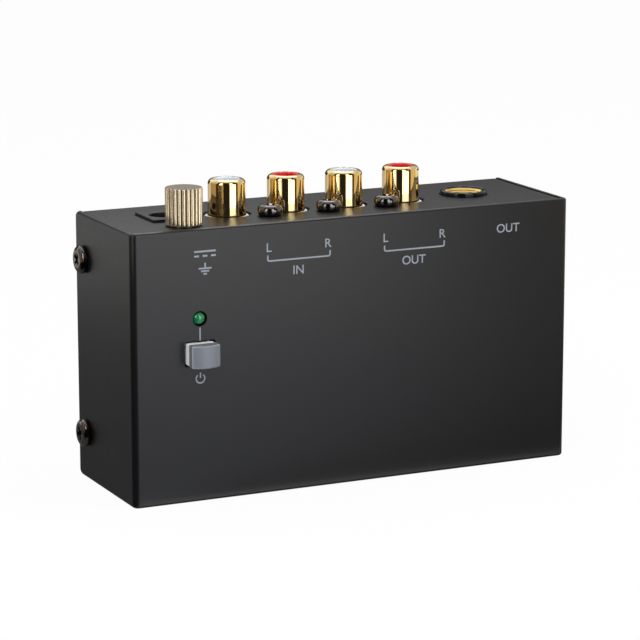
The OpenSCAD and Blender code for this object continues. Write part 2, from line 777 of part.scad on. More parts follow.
module power_spring() {
    leaf_y = power_y + power_hole_r + slide_gap;
    leaf_len = power_hole_len - 2;
    foot_x = power_x + power_spring_w / 2 - tail_w / 2;
    color("#c8cacc") {
        translate([power_x - power_spring_w / 2, leaf_y, power_low])
            cube([power_spring_w, power_spring_t, leaf_len]);
        translate([foot_x, leaf_y, power_tail_low])
            cube([tail_w, power_spring_t, power_low - power_tail_low]);
        translate([power_x + power_tail_x - tail_w / 2, leaf_y, power_tail_low])
            cube([tail_w, board_rear_y + tail_past - leaf_y, tail_t]);
    }
}

module ground_stud() {
    color("#c9b78a") translate([ground_x, ground_y, 0]) {
        translate([0, 0, ground_stud_low])
            cylinder(r = ground_stud_r, h = ground_stud_top - ground_stud_low);
        translate([0, 0, lug_top]) cylinder(r = ground_collar_r, h = ground_collar_t);
    }
}

module ground_lug() {
    color("#c4c6c8") translate([ground_x, ground_y, lug_low]) difference() {
        union() {
            cylinder(r = lug_ring_r, h = lug_t);
            translate([-lug_reach, -lug_tab_w / 2, 0]) cube([lug_reach, lug_tab_w, lug_t]);
        }
        translate([0, 0, -cut]) cylinder(r = ground_stud_r + thread_play, h = lug_t + 2 * cut);
    }
}

module ground_lock_nut() {
    corner_r = lock_nut_flats / 2 / cos(30);
    color("#bfc1c4") translate([ground_x, ground_y, lock_nut_low]) difference() {
        cylinder(r = corner_r, h = lock_nut_t, $fn = 6);
        translate([0, 0, -cut]) cylinder(r = ground_stud_r + thread_play, h = lock_nut_t + 2 * cut);
    }
}

module ground_wire() {
    bend_steps = 4;
    straight = 2 * ground_wire_r;
    route = concat(
        [[wire_x, ground_y, lug_low], [wire_x, ground_y, lug_low - straight]],
        [for (k = [0 : bend_steps]) let (a = 90 * k / bend_steps) [
            wire_x,
            ground_y + wire_bend * (1 - cos(a)),
            wire_end_z + wire_bend * (1 - sin(a))
        ]],
        [[wire_foot_x, board_face_y - straight, wire_end_z], [wire_foot_x, board_face_y, wire_end_z]]
    );
    color("#2f7a3f") swept_tube(route, ground_wire_r, 8);
}

module ground_washer() {
    color("#c2ad7c") translate([ground_x, ground_y, case_h + slide_gap]) difference() {
        cylinder(r = ground_washer_r, h = ground_washer_t);
        translate([0, 0, -cut])
            cylinder(r = ground_stud_r + screw_gap, h = ground_washer_t + 2 * cut);
    }
}

module thumb_nut() {
    step = 360 / thumb_nut_ridges;
    root_r = thumb_nut_r - thumb_nut_groove;
    ridge = [for (k = [0 : thumb_nut_ridges - 1], p = [
        [-0.32, root_r], [-0.14, thumb_nut_r], [0.14, thumb_nut_r], [0.32, root_r]
    ]) p[1] * [cos((k + p[0]) * step), sin((k + p[0]) * step)]];
    color("#c6b287") translate([ground_x, ground_y, case_h]) difference() {
        translate([0, 0, thumb_nut_low])
            linear_extrude(thumb_nut_top - thumb_nut_low) polygon(ridge);
        translate([0, 0, thumb_nut_low - cut]) cylinder(
            r = ground_stud_r + thread_play,
            h = thumb_nut_top - thumb_nut_roof - thumb_nut_low + cut
        );
    }
}

module button_cap() {
    crown_y = front_y - button_out - button_crown;
    color("#7b8087") difference() {
        intersection() {
            slab(button_x, crown_y, button_base_y, button_height, button_w, button_h);
            translate([button_x, crown_y + button_crown_r, button_height - button_h])
                cylinder(r = button_crown_r, h = 2 * button_h, $fn = 200);
        }
        slab(button_x, button_base_y - peg_len - push_play, button_base_y + cut, button_height,
            peg_w + 2 * push_play, peg_h + 2 * push_play);
    }
}

module switch_plunger() {
    head_end = front_y + plunger_head_in;
    color("#d3dbe2") {
        slab(button_x, button_base_y - peg_len, button_base_y, button_height, peg_w, peg_h);
        slab(button_x, button_base_y, head_end, button_height,
            button_w - 2 * plunger_inset, button_h - 2 * plunger_inset);
        slab(button_x, head_end, plunger_foot_y, button_height, plunger_stem_w, plunger_stem_h);
        slab(button_x, plunger_foot_y, plunger_end_y, button_height, plunger_foot_w, plunger_foot_h);
    }
}

module switch_housing() {
    color("#1b1c1e") difference() {
        slab(button_x, switch_top_y, board_face_y, button_height, switch_side, switch_side);
        slab(button_x, switch_roof_y, switch_floor_y, button_height, switch_cavity, switch_cavity);
        slab(button_x, switch_top_y - cut, switch_roof_y + cut, button_height,
            plunger_stem_w + 2 * slide_gap, plunger_stem_h + 2 * slide_gap);
        for (p = switch_pin_places)
            slab(p[0], switch_pin_top_y - slide_gap, board_face_y + cut, p[1],
                switch_pin_t + 2 * slide_gap, switch_pin_w + 2 * slide_gap);
    }
}

module switch_spring() {
    rings_per_turn = 8;
    sides = 6;
    spring_start = plunger_end_y + spring_wire_r;
    spring_end = switch_floor_y - spring_wire_r;
    count = spring_turns * rings_per_turn;
    helix = [for (k = [0 : count]) let (a = 360 * k / rings_per_turn) [
        button_x + spring_r * cos(a),
        spring_start + (spring_end - spring_start) * k / count,
        button_height + spring_r * sin(a)
    ]];
    least = min([for (i = [0 : count], j = [i + rings_per_turn / 2 : 1 : count]) norm(helix[i] - helix[j])]);
    echo(spring_least_gap = least - 2 * spring_wire_r);
    color("#aeb2b6") swept_tube(helix, spring_wire_r, sides);
}

module switch_bridge() {
    color("#c08a4e") difference() {
        slab(button_x, plunger_end_y, plunger_end_y + bridge_t, button_height,
            plunger_foot_w, plunger_foot_h);
        translate([button_x, plunger_end_y - cut, button_height]) to_back()
            cylinder(r = bridge_hole_r, h = bridge_t + 2 * cut);
    }
}

module switch_pins() {
    color("#c0c2c4") for (p = switch_pin_places)
        slab(p[0], switch_pin_top_y, board_rear_y + tail_past, p[1], switch_pin_t, switch_pin_w);
}

module lamp_lens() {
    color("#3fae49") translate([button_x, 0, lamp_height]) {
        translate([0, lamp_dome_y, 0]) sphere(lamp_r);
        translate([0, lamp_dome_y, 0]) to_back() cylinder(r = lamp_r, h = lamp_len);
        translate([0, lamp_foot_y, 0]) to_back() cylinder(r = lamp_rim_r, h = lamp_rim_t);
    }
}

module lamp_leads() {
    color("#c0c2c4") for (p = lamp_lead_places) translate([p[0], lamp_spacer_y, p[1]]) to_back()
        cylinder(r = lamp_lead_r, h = board_rear_y + tail_past - lamp_spacer_y);
}

module lamp_spacer() {
    spacer_len = board_face_y - lamp_spacer_y;
    color("#202124") difference() {
        translate([button_x, lamp_spacer_y, lamp_height]) to_back()
            cylinder(r = lamp_spacer_r, h = spacer_len);
        for (p = lamp_lead_places) translate([p[0], lamp_spacer_y - cut, p[1]]) to_back()
            cylinder(r = lamp_lead_r + slide_gap, h = spacer_len + 2 * cut);
    }
}

module circuit_board() {
    color("#1f5a38") difference() {
        translate([-board_w / 2, board_face_y, board_low])
            cube([board_w, board_t, board_high - board_low]);
        for (p = standoff_places) translate([p[0], board_face_y - cut, p[1]]) to_back()
            cylinder(r = board_screw_r + screw_gap, h = board_t + 2 * cut);
        for (p = tail_places) translate([p[0], board_face_y - cut, p[1]]) to_back()
            cylinder(r = tail_hole_r, h = board_t + 2 * cut);
    }
}

module board_standoffs() {
    corner_r = standoff_flats / 2 / cos(30);
    color("#c8a55a") for (p = standoff_places) translate([p[0], board_rear_y, p[1]]) to_back()
        difference() {
            cylinder(r = corner_r, h = standoff_len, $fn = 6);
            translate([0, 0, -cut])
                cylinder(r = board_screw_r + thread_play, h = board_screw_len - board_t + 2 * cut);
        }
}

module board_screws() {
    color("#b9bbbe") for (p = standoff_places) translate([p[0], board_face_y, p[1]])
        rotate([90, 0, 0])
            pan_screw(board_screw_head_r, board_screw_head_h, board_screw_r, board_screw_len, board_screw_rim);
}

// Eight-leg chips that stand a little off the board on their legs
module amplifier_chips() {
    chip_w = 9.6;
    chip_h = 6.4;
    chip_t = 3.3;
    lift = 0.6;
    leg_w = 0.5;
    leg_pitch = 2.54;
    for (p = chip_places) {
        color("#232326")
            slab(p[0], board_face_y - lift - chip_t, board_face_y - lift, p[1], chip_w, chip_h);
        color("#c0c2c4") for (k = [-1.5 : 1 : 1.5], s = [-1, 1])
            slab(p[0] + k * leg_pitch, board_face_y - lift - chip_t / 2, board_face_y,
                p[1] + s * (chip_h / 2 + leg_w / 4), leg_w, leg_w);
    }
}

// An upright can with a crimped neck, its foot on the board
module can_capacitor(place, r, h) {
    neck_h = 1.6;
    neck_r = r - 0.3;
    rim_r = 0.4;
    translate([place[0], board_face_y, place[1]]) rotate([90, 0, 0]) rotate_extrude() polygon(concat(
        [[0, 0], [r, 0], [r, neck_h - 0.5], [neck_r, neck_h], [r, neck_h + 0.5]],
        arc(r - rim_r, h - rim_r, rim_r, 0, 90, 4),
        [[0, h]]
    ));
}

module coupling_capacitors() {
    color("#2a2c52") for (p = can_places) can_capacitor(p, coupling_can_r, coupling_can_h);
}

module supply_capacitor() {
    color("#24262b") can_capacitor(supply_can_place, supply_can_r, supply_can_h);
}

module film_capacitors() {
    film_w = 7.2;
    film_h = 3.5;
    film_over = 7.5;
    color("#a8332b") for (p = film_places)
        slab(p[0], board_face_y - film_over, board_face_y, p[1], film_w, film_h);
}

// Resistors lie along the height on two bent leads
module resistors() {
    body_r = 1.1;
    body_len = 5;
    lead_r = 0.3;
    lead_reach = 3.4;
    lift = 1.3;
    for (p = resistor_places) translate([p[0], board_face_y - lift, p[1]]) {
        color("#6fa3c4") translate([0, 0, -body_len / 2]) cylinder(r = body_r, h = body_len);
        color("#c0c2c4") {
            translate([0, 0, -lead_reach - lead_r])
                cylinder(r = lead_r, h = 2 * (lead_reach + lead_r));
            for (s = [-1, 1]) translate([0, 0, s * lead_reach]) to_back()
                cylinder(r = lead_r, h = lift);
        }
    }
}

module voltage_regulator() {
    body_w = 10;
    body_t = 4.4;
    body_over = 9;
    tab_t = 1.3;
    tab_over = 15;
    leg_w = 0.8;
    leg_len = 3;
    leg_pitch = 2.54;
    hole_r = 1.8;
    x = regulator_place[0];
    z = regulator_place[1];
    top = board_face_y - leg_len;
    color("#26272a") slab(x, top - body_over, top, z, body_w, body_t);
    color("#b4b7ba") difference() {
        slab(x, top - tab_over, top, z - body_t / 2 - tab_t / 2, body_w, tab_t);
        translate([x, top - tab_over + 3, z - body_t]) cylinder(r = hole_r, h = body_t);
    }
    color("#c0c2c4") for (k = [-1, 0, 1])
        slab(x + k * leg_pitch, top, board_face_y, z, leg_w, leg_w);
}

module input_diode() {
    body_r = 1.35;
    body_len = 5.2;
    lead_r = 0.35;
    lead_reach = 4;
    lift = 1.6;
    translate([diode_place[0], board_face_y - lift, diode_place[1]]) {
        color("#1f2022") translate([0, 0, -body_len / 2]) cylinder(r = body_r, h = body_len);
        color("#c0c2c4") {
            translate([0, 0, -lead_reach - lead_r])
                cylinder(r = lead_r, h = 2 * (lead_reach + lead_r));
            for (s = [-1, 1]) translate([0, 0, s * lead_reach]) to_back()
                cylinder(r = lead_r, h = lift);
        }
    }
}

cover();
chassis();
case_screws();
phono_block();
phono_shell_in_left();
phono_shell_in_right();
phono_shell_out_left();
phono_shell_out_right();
phono_insert_in_left();
phono_insert_in_right();
phono_insert_out_left();
phono_insert_out_right();
phono_contacts();
phono_ground_strap();
phono_screws();
jack_body();
jack_ferrule();
jack_tip_spring();
jack_ring_spring();
jack_sleeve_tail();
power_body();
power_pin();
power_spring();
ground_stud();
ground_lug();
ground_lock_nut();
ground_wire();
ground_washer();
thumb_nut();
button_cap();
switch_plunger();
switch_housing();
switch_spring();
switch_bridge();
switch_pins();
lamp_lens();
lamp_leads();
lamp_spacer();
circuit_board();
board_standoffs();
board_screws();
amplifier_chips();
coupling_capacitors();
supply_capacitor();
film_capacitors();
resistors();
voltage_regulator();
input_diode();
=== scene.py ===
# %% [markdown]
# A small black preamplifier box
#
# The box is two folded steel sheets: a cover with the label face, and a chassis with the socket panel.
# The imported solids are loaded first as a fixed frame, in metres, and every piece below takes its place
# from them. Pieces are drawn in millimetres, because that is how such a box is drawn, and scaled once.

# %% Load the frame
import json
from math import atan2, cos, degrees, pi, radians, sin, sqrt, tan

import bmesh
import bpy
from mathutils import Matrix, Vector


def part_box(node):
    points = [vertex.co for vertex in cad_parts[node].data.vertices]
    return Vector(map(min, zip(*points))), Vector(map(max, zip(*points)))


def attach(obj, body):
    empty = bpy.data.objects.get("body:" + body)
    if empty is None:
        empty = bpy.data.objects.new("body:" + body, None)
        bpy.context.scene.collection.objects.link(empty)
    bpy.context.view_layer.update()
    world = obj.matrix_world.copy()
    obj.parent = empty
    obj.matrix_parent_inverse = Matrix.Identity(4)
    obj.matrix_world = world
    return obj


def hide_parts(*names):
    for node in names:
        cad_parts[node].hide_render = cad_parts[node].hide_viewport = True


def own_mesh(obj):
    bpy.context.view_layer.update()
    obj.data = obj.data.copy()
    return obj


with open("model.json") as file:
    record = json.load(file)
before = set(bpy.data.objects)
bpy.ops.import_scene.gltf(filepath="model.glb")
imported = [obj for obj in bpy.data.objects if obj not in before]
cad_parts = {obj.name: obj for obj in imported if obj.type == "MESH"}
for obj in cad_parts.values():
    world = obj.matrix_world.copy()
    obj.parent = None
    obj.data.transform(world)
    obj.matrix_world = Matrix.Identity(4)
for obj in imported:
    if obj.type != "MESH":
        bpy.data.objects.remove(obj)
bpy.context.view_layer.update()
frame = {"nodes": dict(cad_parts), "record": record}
MM = 0.001


def mm_box(node):
    """Lowest and highest corner of a solid, in millimetres."""
    low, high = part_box(node)
    return low / MM, high / MM


def mm_middle(node):
    low, high = mm_box(node)
    return (low + high) / 2


case_low, case_high = mm_box("cover")
print("frame:", len(frame["nodes"]), "solids, case", [round(v, 2) for v in case_high - case_low], "mm")

# %% [markdown]
# Camera
#
# The camera's place was found from the case's straight edges: it looks at the label face from the left
# and a little from above, through a long lens, so the sides barely converge. A yaw and a pitch say this
# more plainly than a rotation copied from a viewport.

# %% Set up the camera
YAW = radians(25.39)
PITCH = radians(12.23)
LENS, SENSOR = 162.33, 36
CAMERA_AT = (-0.2727, -0.5721, 0.1709)
camera_data = bpy.data.cameras.new("camera")
camera_data.sensor_fit = "HORIZONTAL"
camera_data.sensor_width = SENSOR
camera_data.lens = LENS
camera = bpy.data.objects.new("camera", camera_data)
camera.location = CAMERA_AT
forward = Vector((sin(YAW) * cos(PITCH), cos(YAW) * cos(PITCH), -sin(PITCH)))
camera.rotation_euler = forward.to_track_quat("-Z", "Y").to_euler()
scene = bpy.context.scene
scene.collection.objects.link(camera)
scene.camera = camera
scene.view_settings.view_transform = "Standard"
print("camera:", round(degrees(YAW), 1), "degrees to the left,", round(degrees(PITCH), 1), "down")

# %% [markdown]
# Placing nodes in a shader
#
# Every finish below is a small network of shader nodes. One helper places a node, sets its options and
# fills its inputs, with a plain value or with a link from another node, so that a network reads as a list.


# %% Helpers for shader nodes
def srgb(red, green, blue):
    """A colour as it looks on a screen, 0 to 255, turned into the linear values that a shader takes."""
    linear = [c / 255 / 12.92 if c <= 10 else ((c / 255 + 0.055) / 1.055) ** 2.4 for c in (red, green, blue)]
    return (*linear, 1.0)


def put(tree, kind, inputs=None, **options):
    node = tree.nodes.new(kind)
    for key, value in options.items():
        setattr(node, key, value)
    for key, value in (inputs or {}).items():
        if isinstance(value, bpy.types.NodeSocket):
            tree.links.new(value, node.inputs[key])
        else:
            node.inputs[key].default_value = value
    return node


def arithmetic(tree, operation, *values):
    return put(tree, "ShaderNodeMath", dict(enumerate(values)), operation=operation).outputs[0]


def mix_colours(tree, factor, first, second):
    return put(tree, "ShaderNodeMix", {0: factor, 6: first, 7: second}, data_type="RGBA").outputs[2]


def spread(tree, value, low, high, start=0.0, end=1.0):
    """Maps a value from the span start to end onto the span low to high."""
    return put(tree, "ShaderNodeMapRange", {
        "Value": value, "From Min": start, "From Max": end, "To Min": low, "To Max": high,
    }).outputs["Result"]


print("nodes can be placed, mixed and spread")


# %% Helpers for places and groups
def axes_of(tree, kind):
    """The three parts of a place or a normal, as the piece itself has them."""
    return put(tree, "ShaderNodeSeparateXYZ", {0: put(tree, "ShaderNodeTexCoord").outputs[kind]}).outputs


def flat_distance(tree, x, y):
    squares = [arithmetic(tree, "MULTIPLY", v, v) for v in (x, y)]
    return arithmetic(tree, "SQRT", arithmetic(tree, "ADD", *squares))


def effect_group(name, inputs, outputs):
    group = bpy.data.node_groups.new(name, "ShaderNodeTree")
    for label, value in inputs.items():
        group.interface.new_socket(label, in_out="INPUT", socket_type="NodeSocketFloat").default_value = value
    for label in outputs:
        group.interface.new_socket(label, in_out="OUTPUT", socket_type="NodeSocketFloat")
    return group, put(group, "NodeGroupInput"), put(group, "NodeGroupOutput")


print("node groups can be started")

# %% [markdown]
# Effects that many finishes share
#
# Paint, plastic and metal all change a little over their surface. A fine grain is the skin of paint or of
# a moulding, a slow tone is the patchiness of a whole surface, and turned rings are what a lathe leaves.
# Each is a node group, built once, with its size in millimetres as input. Object coordinates carry the
# pattern, so it stays on a piece that moves.

# %% Build the grain and the tone
PER_MM = 1 / MM
NOISE_SPAN = (0.3, 0.7)

fine_grain, grain_in, grain_out = effect_group("fine_grain", {"Size": 0.3}, ["Height", "Tone"])
place = put(fine_grain, "ShaderNodeTexCoord").outputs["Object"]
grain_scale = arithmetic(fine_grain, "DIVIDE", PER_MM, grain_in.outputs["Size"])
coarse_scale = arithmetic(fine_grain, "DIVIDE", grain_scale, 5.0)
for label, scale, detail in (("Height", grain_scale, 3.0), ("Tone", coarse_scale, 2.0)):
    grains = put(fine_grain, "ShaderNodeTexNoise", {"Vector": place, "Scale": scale, "Detail": detail})
    fine_grain.links.new(grains.outputs[0], grain_out.inputs[label])

slow_tone, tone_in, tone_out = effect_group("slow_tone", {"Patch": 12.0}, ["Tone"])
place = put(slow_tone, "ShaderNodeTexCoord").outputs["Object"]
patch_scale = arithmetic(slow_tone, "DIVIDE", PER_MM, tone_in.outputs["Patch"])
patches = put(slow_tone, "ShaderNodeTexNoise",
              {"Vector": place, "Scale": patch_scale, "Detail": 4.0, "Roughness": 0.6})
slow_tone.links.new(spread(slow_tone, patches.outputs[0], 0.0, 1.0, *NOISE_SPAN), tone_out.inputs["Tone"])
print("effects:", fine_grain.name, slow_tone.name)

# %% [markdown]
# Turned rings
#
# A lathe's tool leaves rings round the part's own axis. They could be painted as a picture, but a noise
# along one line, read by the distance from the axis plus the height, gives rings on a face and on a wall
# alike.

# %% Build the turned rings
turned_rings, rings_in, rings_out = effect_group("turned_rings", {"Pitch": 0.1}, ["Height", "Tone"])
x, y, z = axes_of(turned_rings, "Object")
along = arithmetic(turned_rings, "ADD", flat_distance(turned_rings, x, y), z)
along_mm = arithmetic(turned_rings, "MULTIPLY", along, PER_MM)
turns = arithmetic(turned_rings, "DIVIDE", along_mm, rings_in.outputs["Pitch"])
for label, scale, detail in (("Height", 1.0, 2.0), ("Tone", 0.13, 1.0)):
    cuts = put(turned_rings, "ShaderNodeTexNoise", {"W": turns, "Scale": scale, "Detail": detail},
               noise_dimensions="1D")
    turned_rings.links.new(cuts.outputs[0], rings_out.inputs[label])
print("effect:", turned_rings.name)

# %% [markdown]
# Finishes
#
# A finish is a colour that drifts between two near tones, a roughness that drifts too, and a bump from
# the grain or the rings. Defaults would make the materials alike, so every finish states its own colours,
# its span of roughness, the size of its patches, and the size and depth of its grain or rings.

# %% A function that mixes a finish
finishes = {}
BUMP_DEEP = 0.02 * MM


def finish(name, dark, light, rough, patch, mark, bump, skin=fine_grain, **shader):
    """Colours run from 0 to 255, and patch and mark are sizes in millimetres."""
    material = bpy.data.materials.new(name)
    material.use_nodes = True
    tree = material.node_tree
    surface = tree.nodes["Principled BSDF"]
    tone = put(tree, "ShaderNodeGroup", {"Patch": patch}, node_tree=slow_tone)
    marks = put(tree, "ShaderNodeGroup", {0: mark}, node_tree=skin)
    colour = mix_colours(tree, tone.outputs["Tone"], srgb(*dark), srgb(*light))
    tree.links.new(colour, surface.inputs["Base Color"])
    tree.links.new(spread(tree, marks.outputs["Tone"], *rough, *NOISE_SPAN), surface.inputs["Roughness"])
    relief = put(tree, "ShaderNodeBump",
                 {"Strength": bump, "Distance": BUMP_DEEP, "Height": marks.outputs["Height"]})
    tree.links.new(relief.outputs["Normal"], surface.inputs["Normal"])
    for socket, value in shader.items():
        surface.inputs[socket].default_value = value
    finishes[name] = material


print("a finish mixes", slow_tone.name, "with", fine_grain.name, "or", turned_rings.name)

# %% [markdown]
# Paints, metals and plastics
#
# The case is satin black paint, a little cooler on the cover. The metals are gold plate, brass and dark
# nickel, all with faint lathe rings. The plastics differ mostly in gloss. Those of the pieces inside are
# the usual colours of board, wire and parts.

# %% Mix the finishes
finish("cover_paint", (15, 15, 17), (17, 17, 19), (0.33, 0.36), 40, 0.3, 0.12)
finish("chassis_paint", (16, 16, 16), (18, 18, 18), (0.33, 0.36), 40, 0.3, 0.12)
finish("print_grey", (134, 141, 151), (144, 151, 161), (0.45, 0.55), 3, 0.12, 0.1)

for turned_metal in (
    ("black_nickel", (98, 94, 92), (124, 118, 114), (0.1, 0.15), 3, 0.06, 0.03),
    ("black_screw", (98, 95, 93), (108, 104, 101), (0.06, 0.09), 2, 0.08, 0.02),
    ("gold_plate", (233, 203, 143), (238, 211, 156), (0.05, 0.08), 4, 0.05, 0.01),
    ("ferrule_gold", (222, 186, 108), (231, 199, 124), (0.1, 0.16), 3, 0.07, 0.05),
    ("plain_brass", (196, 164, 96), (212, 184, 120), (0.25, 0.35), 3, 0.1, 0.2),
):
    finish(*turned_metal, turned_rings, Metallic=1.0)
for brass in ("nut_brass", "nut_ridges"):
    finish(brass, (212, 196, 168), (222, 208, 182), (0.17, 0.21), 3, 0.15, 0.1, Metallic=0.88)
finish("tinned_metal", (190, 192, 194), (214, 216, 218), (0.25, 0.4), 2, 0.2, 0.3, Metallic=1.0)

finish("nose_gloss", (14, 14, 15), (18, 18, 19), (0.1, 0.14), 6, 0.3, 0.04)
finish("black_plastic", (20, 20, 21), (27, 27, 28), (0.3, 0.4), 8, 0.2, 0.2)
finish("white_plastic", (218, 227, 240), (226, 234, 245), (0.15, 0.25), 3, 0.3, 0.05)
finish("red_plastic", (206, 20, 24), (220, 30, 32), (0.3, 0.38), 3, 0.3, 0.05)
finish("button_grey", (112, 118, 126), (119, 125, 133), (0.3, 0.38), 4, 0.12, 0.25)
finish("pale_nylon", (244, 250, 255), (250, 253, 255), (0.3, 0.4), 3, 0.15, 0.1)
finish("lamp_green", (4, 104, 58), (8, 120, 70), (0.11, 0.13), 1.5, 0.2, 0.0, IOR=1.9)

finish("board_green", (24, 86, 52), (34, 104, 64), (0.3, 0.45), 10, 0.4, 0.2)
finish("wire_green", (52, 120, 58), (64, 136, 70), (0.35, 0.5), 4, 0.2, 0.1)
finish("can_sleeve", (34, 36, 66), (44, 46, 80), (0.25, 0.4), 5, 0.3, 0.1)
finish("film_red", (150, 44, 36), (172, 56, 46), (0.25, 0.4), 4, 0.25, 0.2)
finish("resistor_blue", (98, 148, 184), (116, 166, 200), (0.3, 0.45), 2, 0.15, 0.1)
print("finishes:", len(finishes))

# %% [markdown]
# Outlines with rounded corners
#
# Most pieces here are turned, bent or moulded, so each starts as a flat outline. Sharp corners are rounded
# in the outline itself, because every real edge has a small radius that catches light, and a modelled
# radius stays where it is put, which a bevel modifier does not promise.


# %% Helpers for outlines
def quarter_turn(steps):
    """The angles of a quarter turn, in even steps."""
    return [pi / 2 * k / steps for k in range(steps + 1)]


def fillet(corners, radii, steps=5):
    """Rounds the corners of a closed outline: a radius for each corner, 0 leaves it sharp."""
    rounded = []
    count = len(corners)
    for i, radius in enumerate(radii):
        corner = Vector(corners[i])
        if radius <= 0:
            rounded.append(corner)
            continue
        before = (Vector(corners[i - 1]) - corner).normalized()
        after = (Vector(corners[(i + 1) % count]) - corner).normalized()
        half = before.angle(after) / 2
        centre = corner + (before + after).normalized() * radius / sin(half)
        start = corner + before * radius / tan(half) - centre
        end = corner + after * radius / tan(half) - centre
        turn = start.angle_signed(end)
        rounded += [centre + Matrix.Rotation(-turn * k / steps, 2) @ start for k in range(steps + 1)]
    return rounded


def rounded_rectangle(width, height, radius, steps=5):
    w, h = width / 2, height / 2
    return fillet([(-w, -h), (w, -h), (w, h), (-w, h)], [radius] * 4, steps)


def circle(radius, steps=72):
    return [Vector((radius * cos(a), radius * sin(a))) for a in
            (2 * pi * k / steps for k in range(steps))]


print("outline helpers ready")

# %% [markdown]
# Skins over outlines
#
# Three ways of drawing cover the pieces: a skin lofted through a few sections, an outline raised straight
# up, and a profile spun round an axis. Each returns a bmesh in millimetres, and closes its own ends, so
# that it can be cut later.


# %% Helpers for skins
def loft(sections, capped=True):
    """Joins sections of equal point count, each a list of 3-D points, into one skin."""
    bm = bmesh.new()
    rings = [[bm.verts.new(p) for p in section] for section in sections]
    for lower, upper in zip(rings, rings[1:]):
        for k in range(len(lower)):
            bm.faces.new((lower[k - 1], lower[k], upper[k], upper[k - 1]))
    if capped:
        bm.faces.new(rings[0])
        bm.faces.new(rings[-1])
    bmesh.ops.recalc_face_normals(bm, faces=bm.faces)
    return bm


def raised(outline, low, high, capped=True):
    return loft([[(p.x, p.y, z) for p in outline] for z in (low, high)], capped)


def spin(profile, steps=96):
    """Spins a closed profile of [radius, height] points round Z."""
    bm = bmesh.new()
    verts = [bm.verts.new((r, 0, z)) for r, z in profile]
    edges = [bm.edges.new((verts[k - 1], verts[k])) for k in range(len(verts))
             if profile[k - 1][0] > 1e-6 or profile[k][0] > 1e-6]
    bmesh.ops.spin(bm, geom=verts + edges, cent=(0, 0, 0), axis=(0, 0, 1), angle=2 * pi, steps=steps)
    bmesh.ops.remove_doubles(bm, verts=bm.verts, dist=1e-4)
    bmesh.ops.recalc_face_normals(bm, faces=bm.faces)
    return bm


print("skin helpers ready")

# %% [markdown]
# From drawing to piece
#
# A drawing is turned to face its side of the box and moved into place, and becomes an object when it is
# scaled to metres. The finish, the shading, the body it rides on and the hiding of the solids it replaces
# are given in one step, so that no piece is left without them.

# %% Helpers for placing
UP = Matrix.Identity(3)
FRONT = Matrix(((1, 0, 0), (0, 0, -1), (0, 1, 0)))
LEFT = Matrix(((0, 0, -1), (-1, 0, 0), (0, 1, 0)))
RIGHT = Matrix(((0, 0, 1), (1, 0, 0), (0, 1, 0)))


def moved(bm, at, facing=UP):
    """Puts a drawing in place, in millimetres, with its own Z turned to face a side."""
    bmesh.ops.transform(bm, matrix=Matrix.Translation(at) @ facing.to_4x4(), verts=bm.verts)
    return bm


def joined(drawings):
    whole = bmesh.new()
    for bm in drawings:
        mesh = bpy.data.meshes.new("part")
        bm.to_mesh(mesh)
        bm.free()
        whole.from_mesh(mesh)
        bpy.data.meshes.remove(mesh)
    return whole


def as_object(name, bm, at=(0, 0, 0), facing=UP):
    """Scales a drawing to metres and links it, with its origin at the given point."""
    bmesh.ops.scale(bm, vec=(MM, MM, MM), verts=bm.verts)
    mesh = bpy.data.meshes.new(name)
    bm.to_mesh(mesh)
    bm.free()
    obj = bpy.data.objects.new(name, mesh)
    obj.matrix_world = Matrix.Translation(Vector(at) * MM) @ facing.to_4x4()
    scene.collection.objects.link(obj)
    return obj


print("drawings can be placed")


# %% A helper that dresses a piece
def dress(obj, slot, nodes=(), body="case", paint=None, sharp=35):
    """Gives a piece its finish and shading, parents it to its body, and hides the solids that it replaces."""
    obj.data.materials.clear()
    obj.data.materials.append(finishes[paint or slot])
    obj.data.shade_smooth()
    obj.data.set_sharp_from_angle(angle=radians(sharp))
    even = obj.modifiers.new("even_shading", "WEIGHTED_NORMAL")
    even.keep_sharp = True
    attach(obj, body)
    if nodes:
        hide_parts(*nodes)
    print("made", obj.name, len(obj.data.polygons), "faces")
    return obj


print("pieces can be dressed in", len(finishes), "finishes")

# %% [markdown]
# Holes with a rounded mouth
#
# A punched and painted hole has no sharp lip: the paint rounds it. So the cutter is flared like the mouth
# of a bell: a loft of the hole's outline, which grows toward the surface along a quarter circle. A bevel
# after the cut often tears where a curved rim meets a large flat face.


# %% Helpers for cutting
def settled_mesh(obj):
    """The mesh of an object with its modifiers, curves or letters worked out."""
    bpy.context.view_layer.update()
    graph = bpy.context.evaluated_depsgraph_get()
    return bpy.data.meshes.new_from_object(obj.evaluated_get(graph))


def carve(obj, cutters):
    """Cuts the cutters' shapes, drawn in the object's own millimetres, out of the object."""
    tool = as_object("cutter", joined(cutters))
    tool.matrix_world = obj.matrix_world
    cut = obj.modifiers.new("holes", "BOOLEAN")
    cut.object = tool
    cut.solver = "EXACT"
    whole, obj.data = obj.data, settled_mesh(obj)
    obj.modifiers.clear()
    bpy.data.meshes.remove(whole)
    bpy.data.objects.remove(tool)
    return obj


print("shapes can be cut")


# %% Cutters with a rounded mouth
def flared_cutter(outline, depth, mouth, steps=4):
    """outline(offset) gives the hole grown by an offset; the surface is at zero, and the hole goes down."""
    flare = [(mouth * (1 - sin(a)), -mouth * (1 - cos(a))) for a in quarter_turn(steps)]
    sections = [(mouth, 1.0), *flare, (0.0, -depth)]
    return loft([[(p.x, p.y, z) for p in outline(grow)] for grow, z in sections])


def round_cutter(radius, depth, mouth, steps=72):
    return flared_cutter(lambda grow: circle(radius + grow, steps), depth, mouth)


def window_cutter(width, height, corner, depth, mouth):
    return flared_cutter(
        lambda grow: rounded_rectangle(width + 2 * grow, height + 2 * grow, corner + grow), depth, mouth)


print("cutters ready")

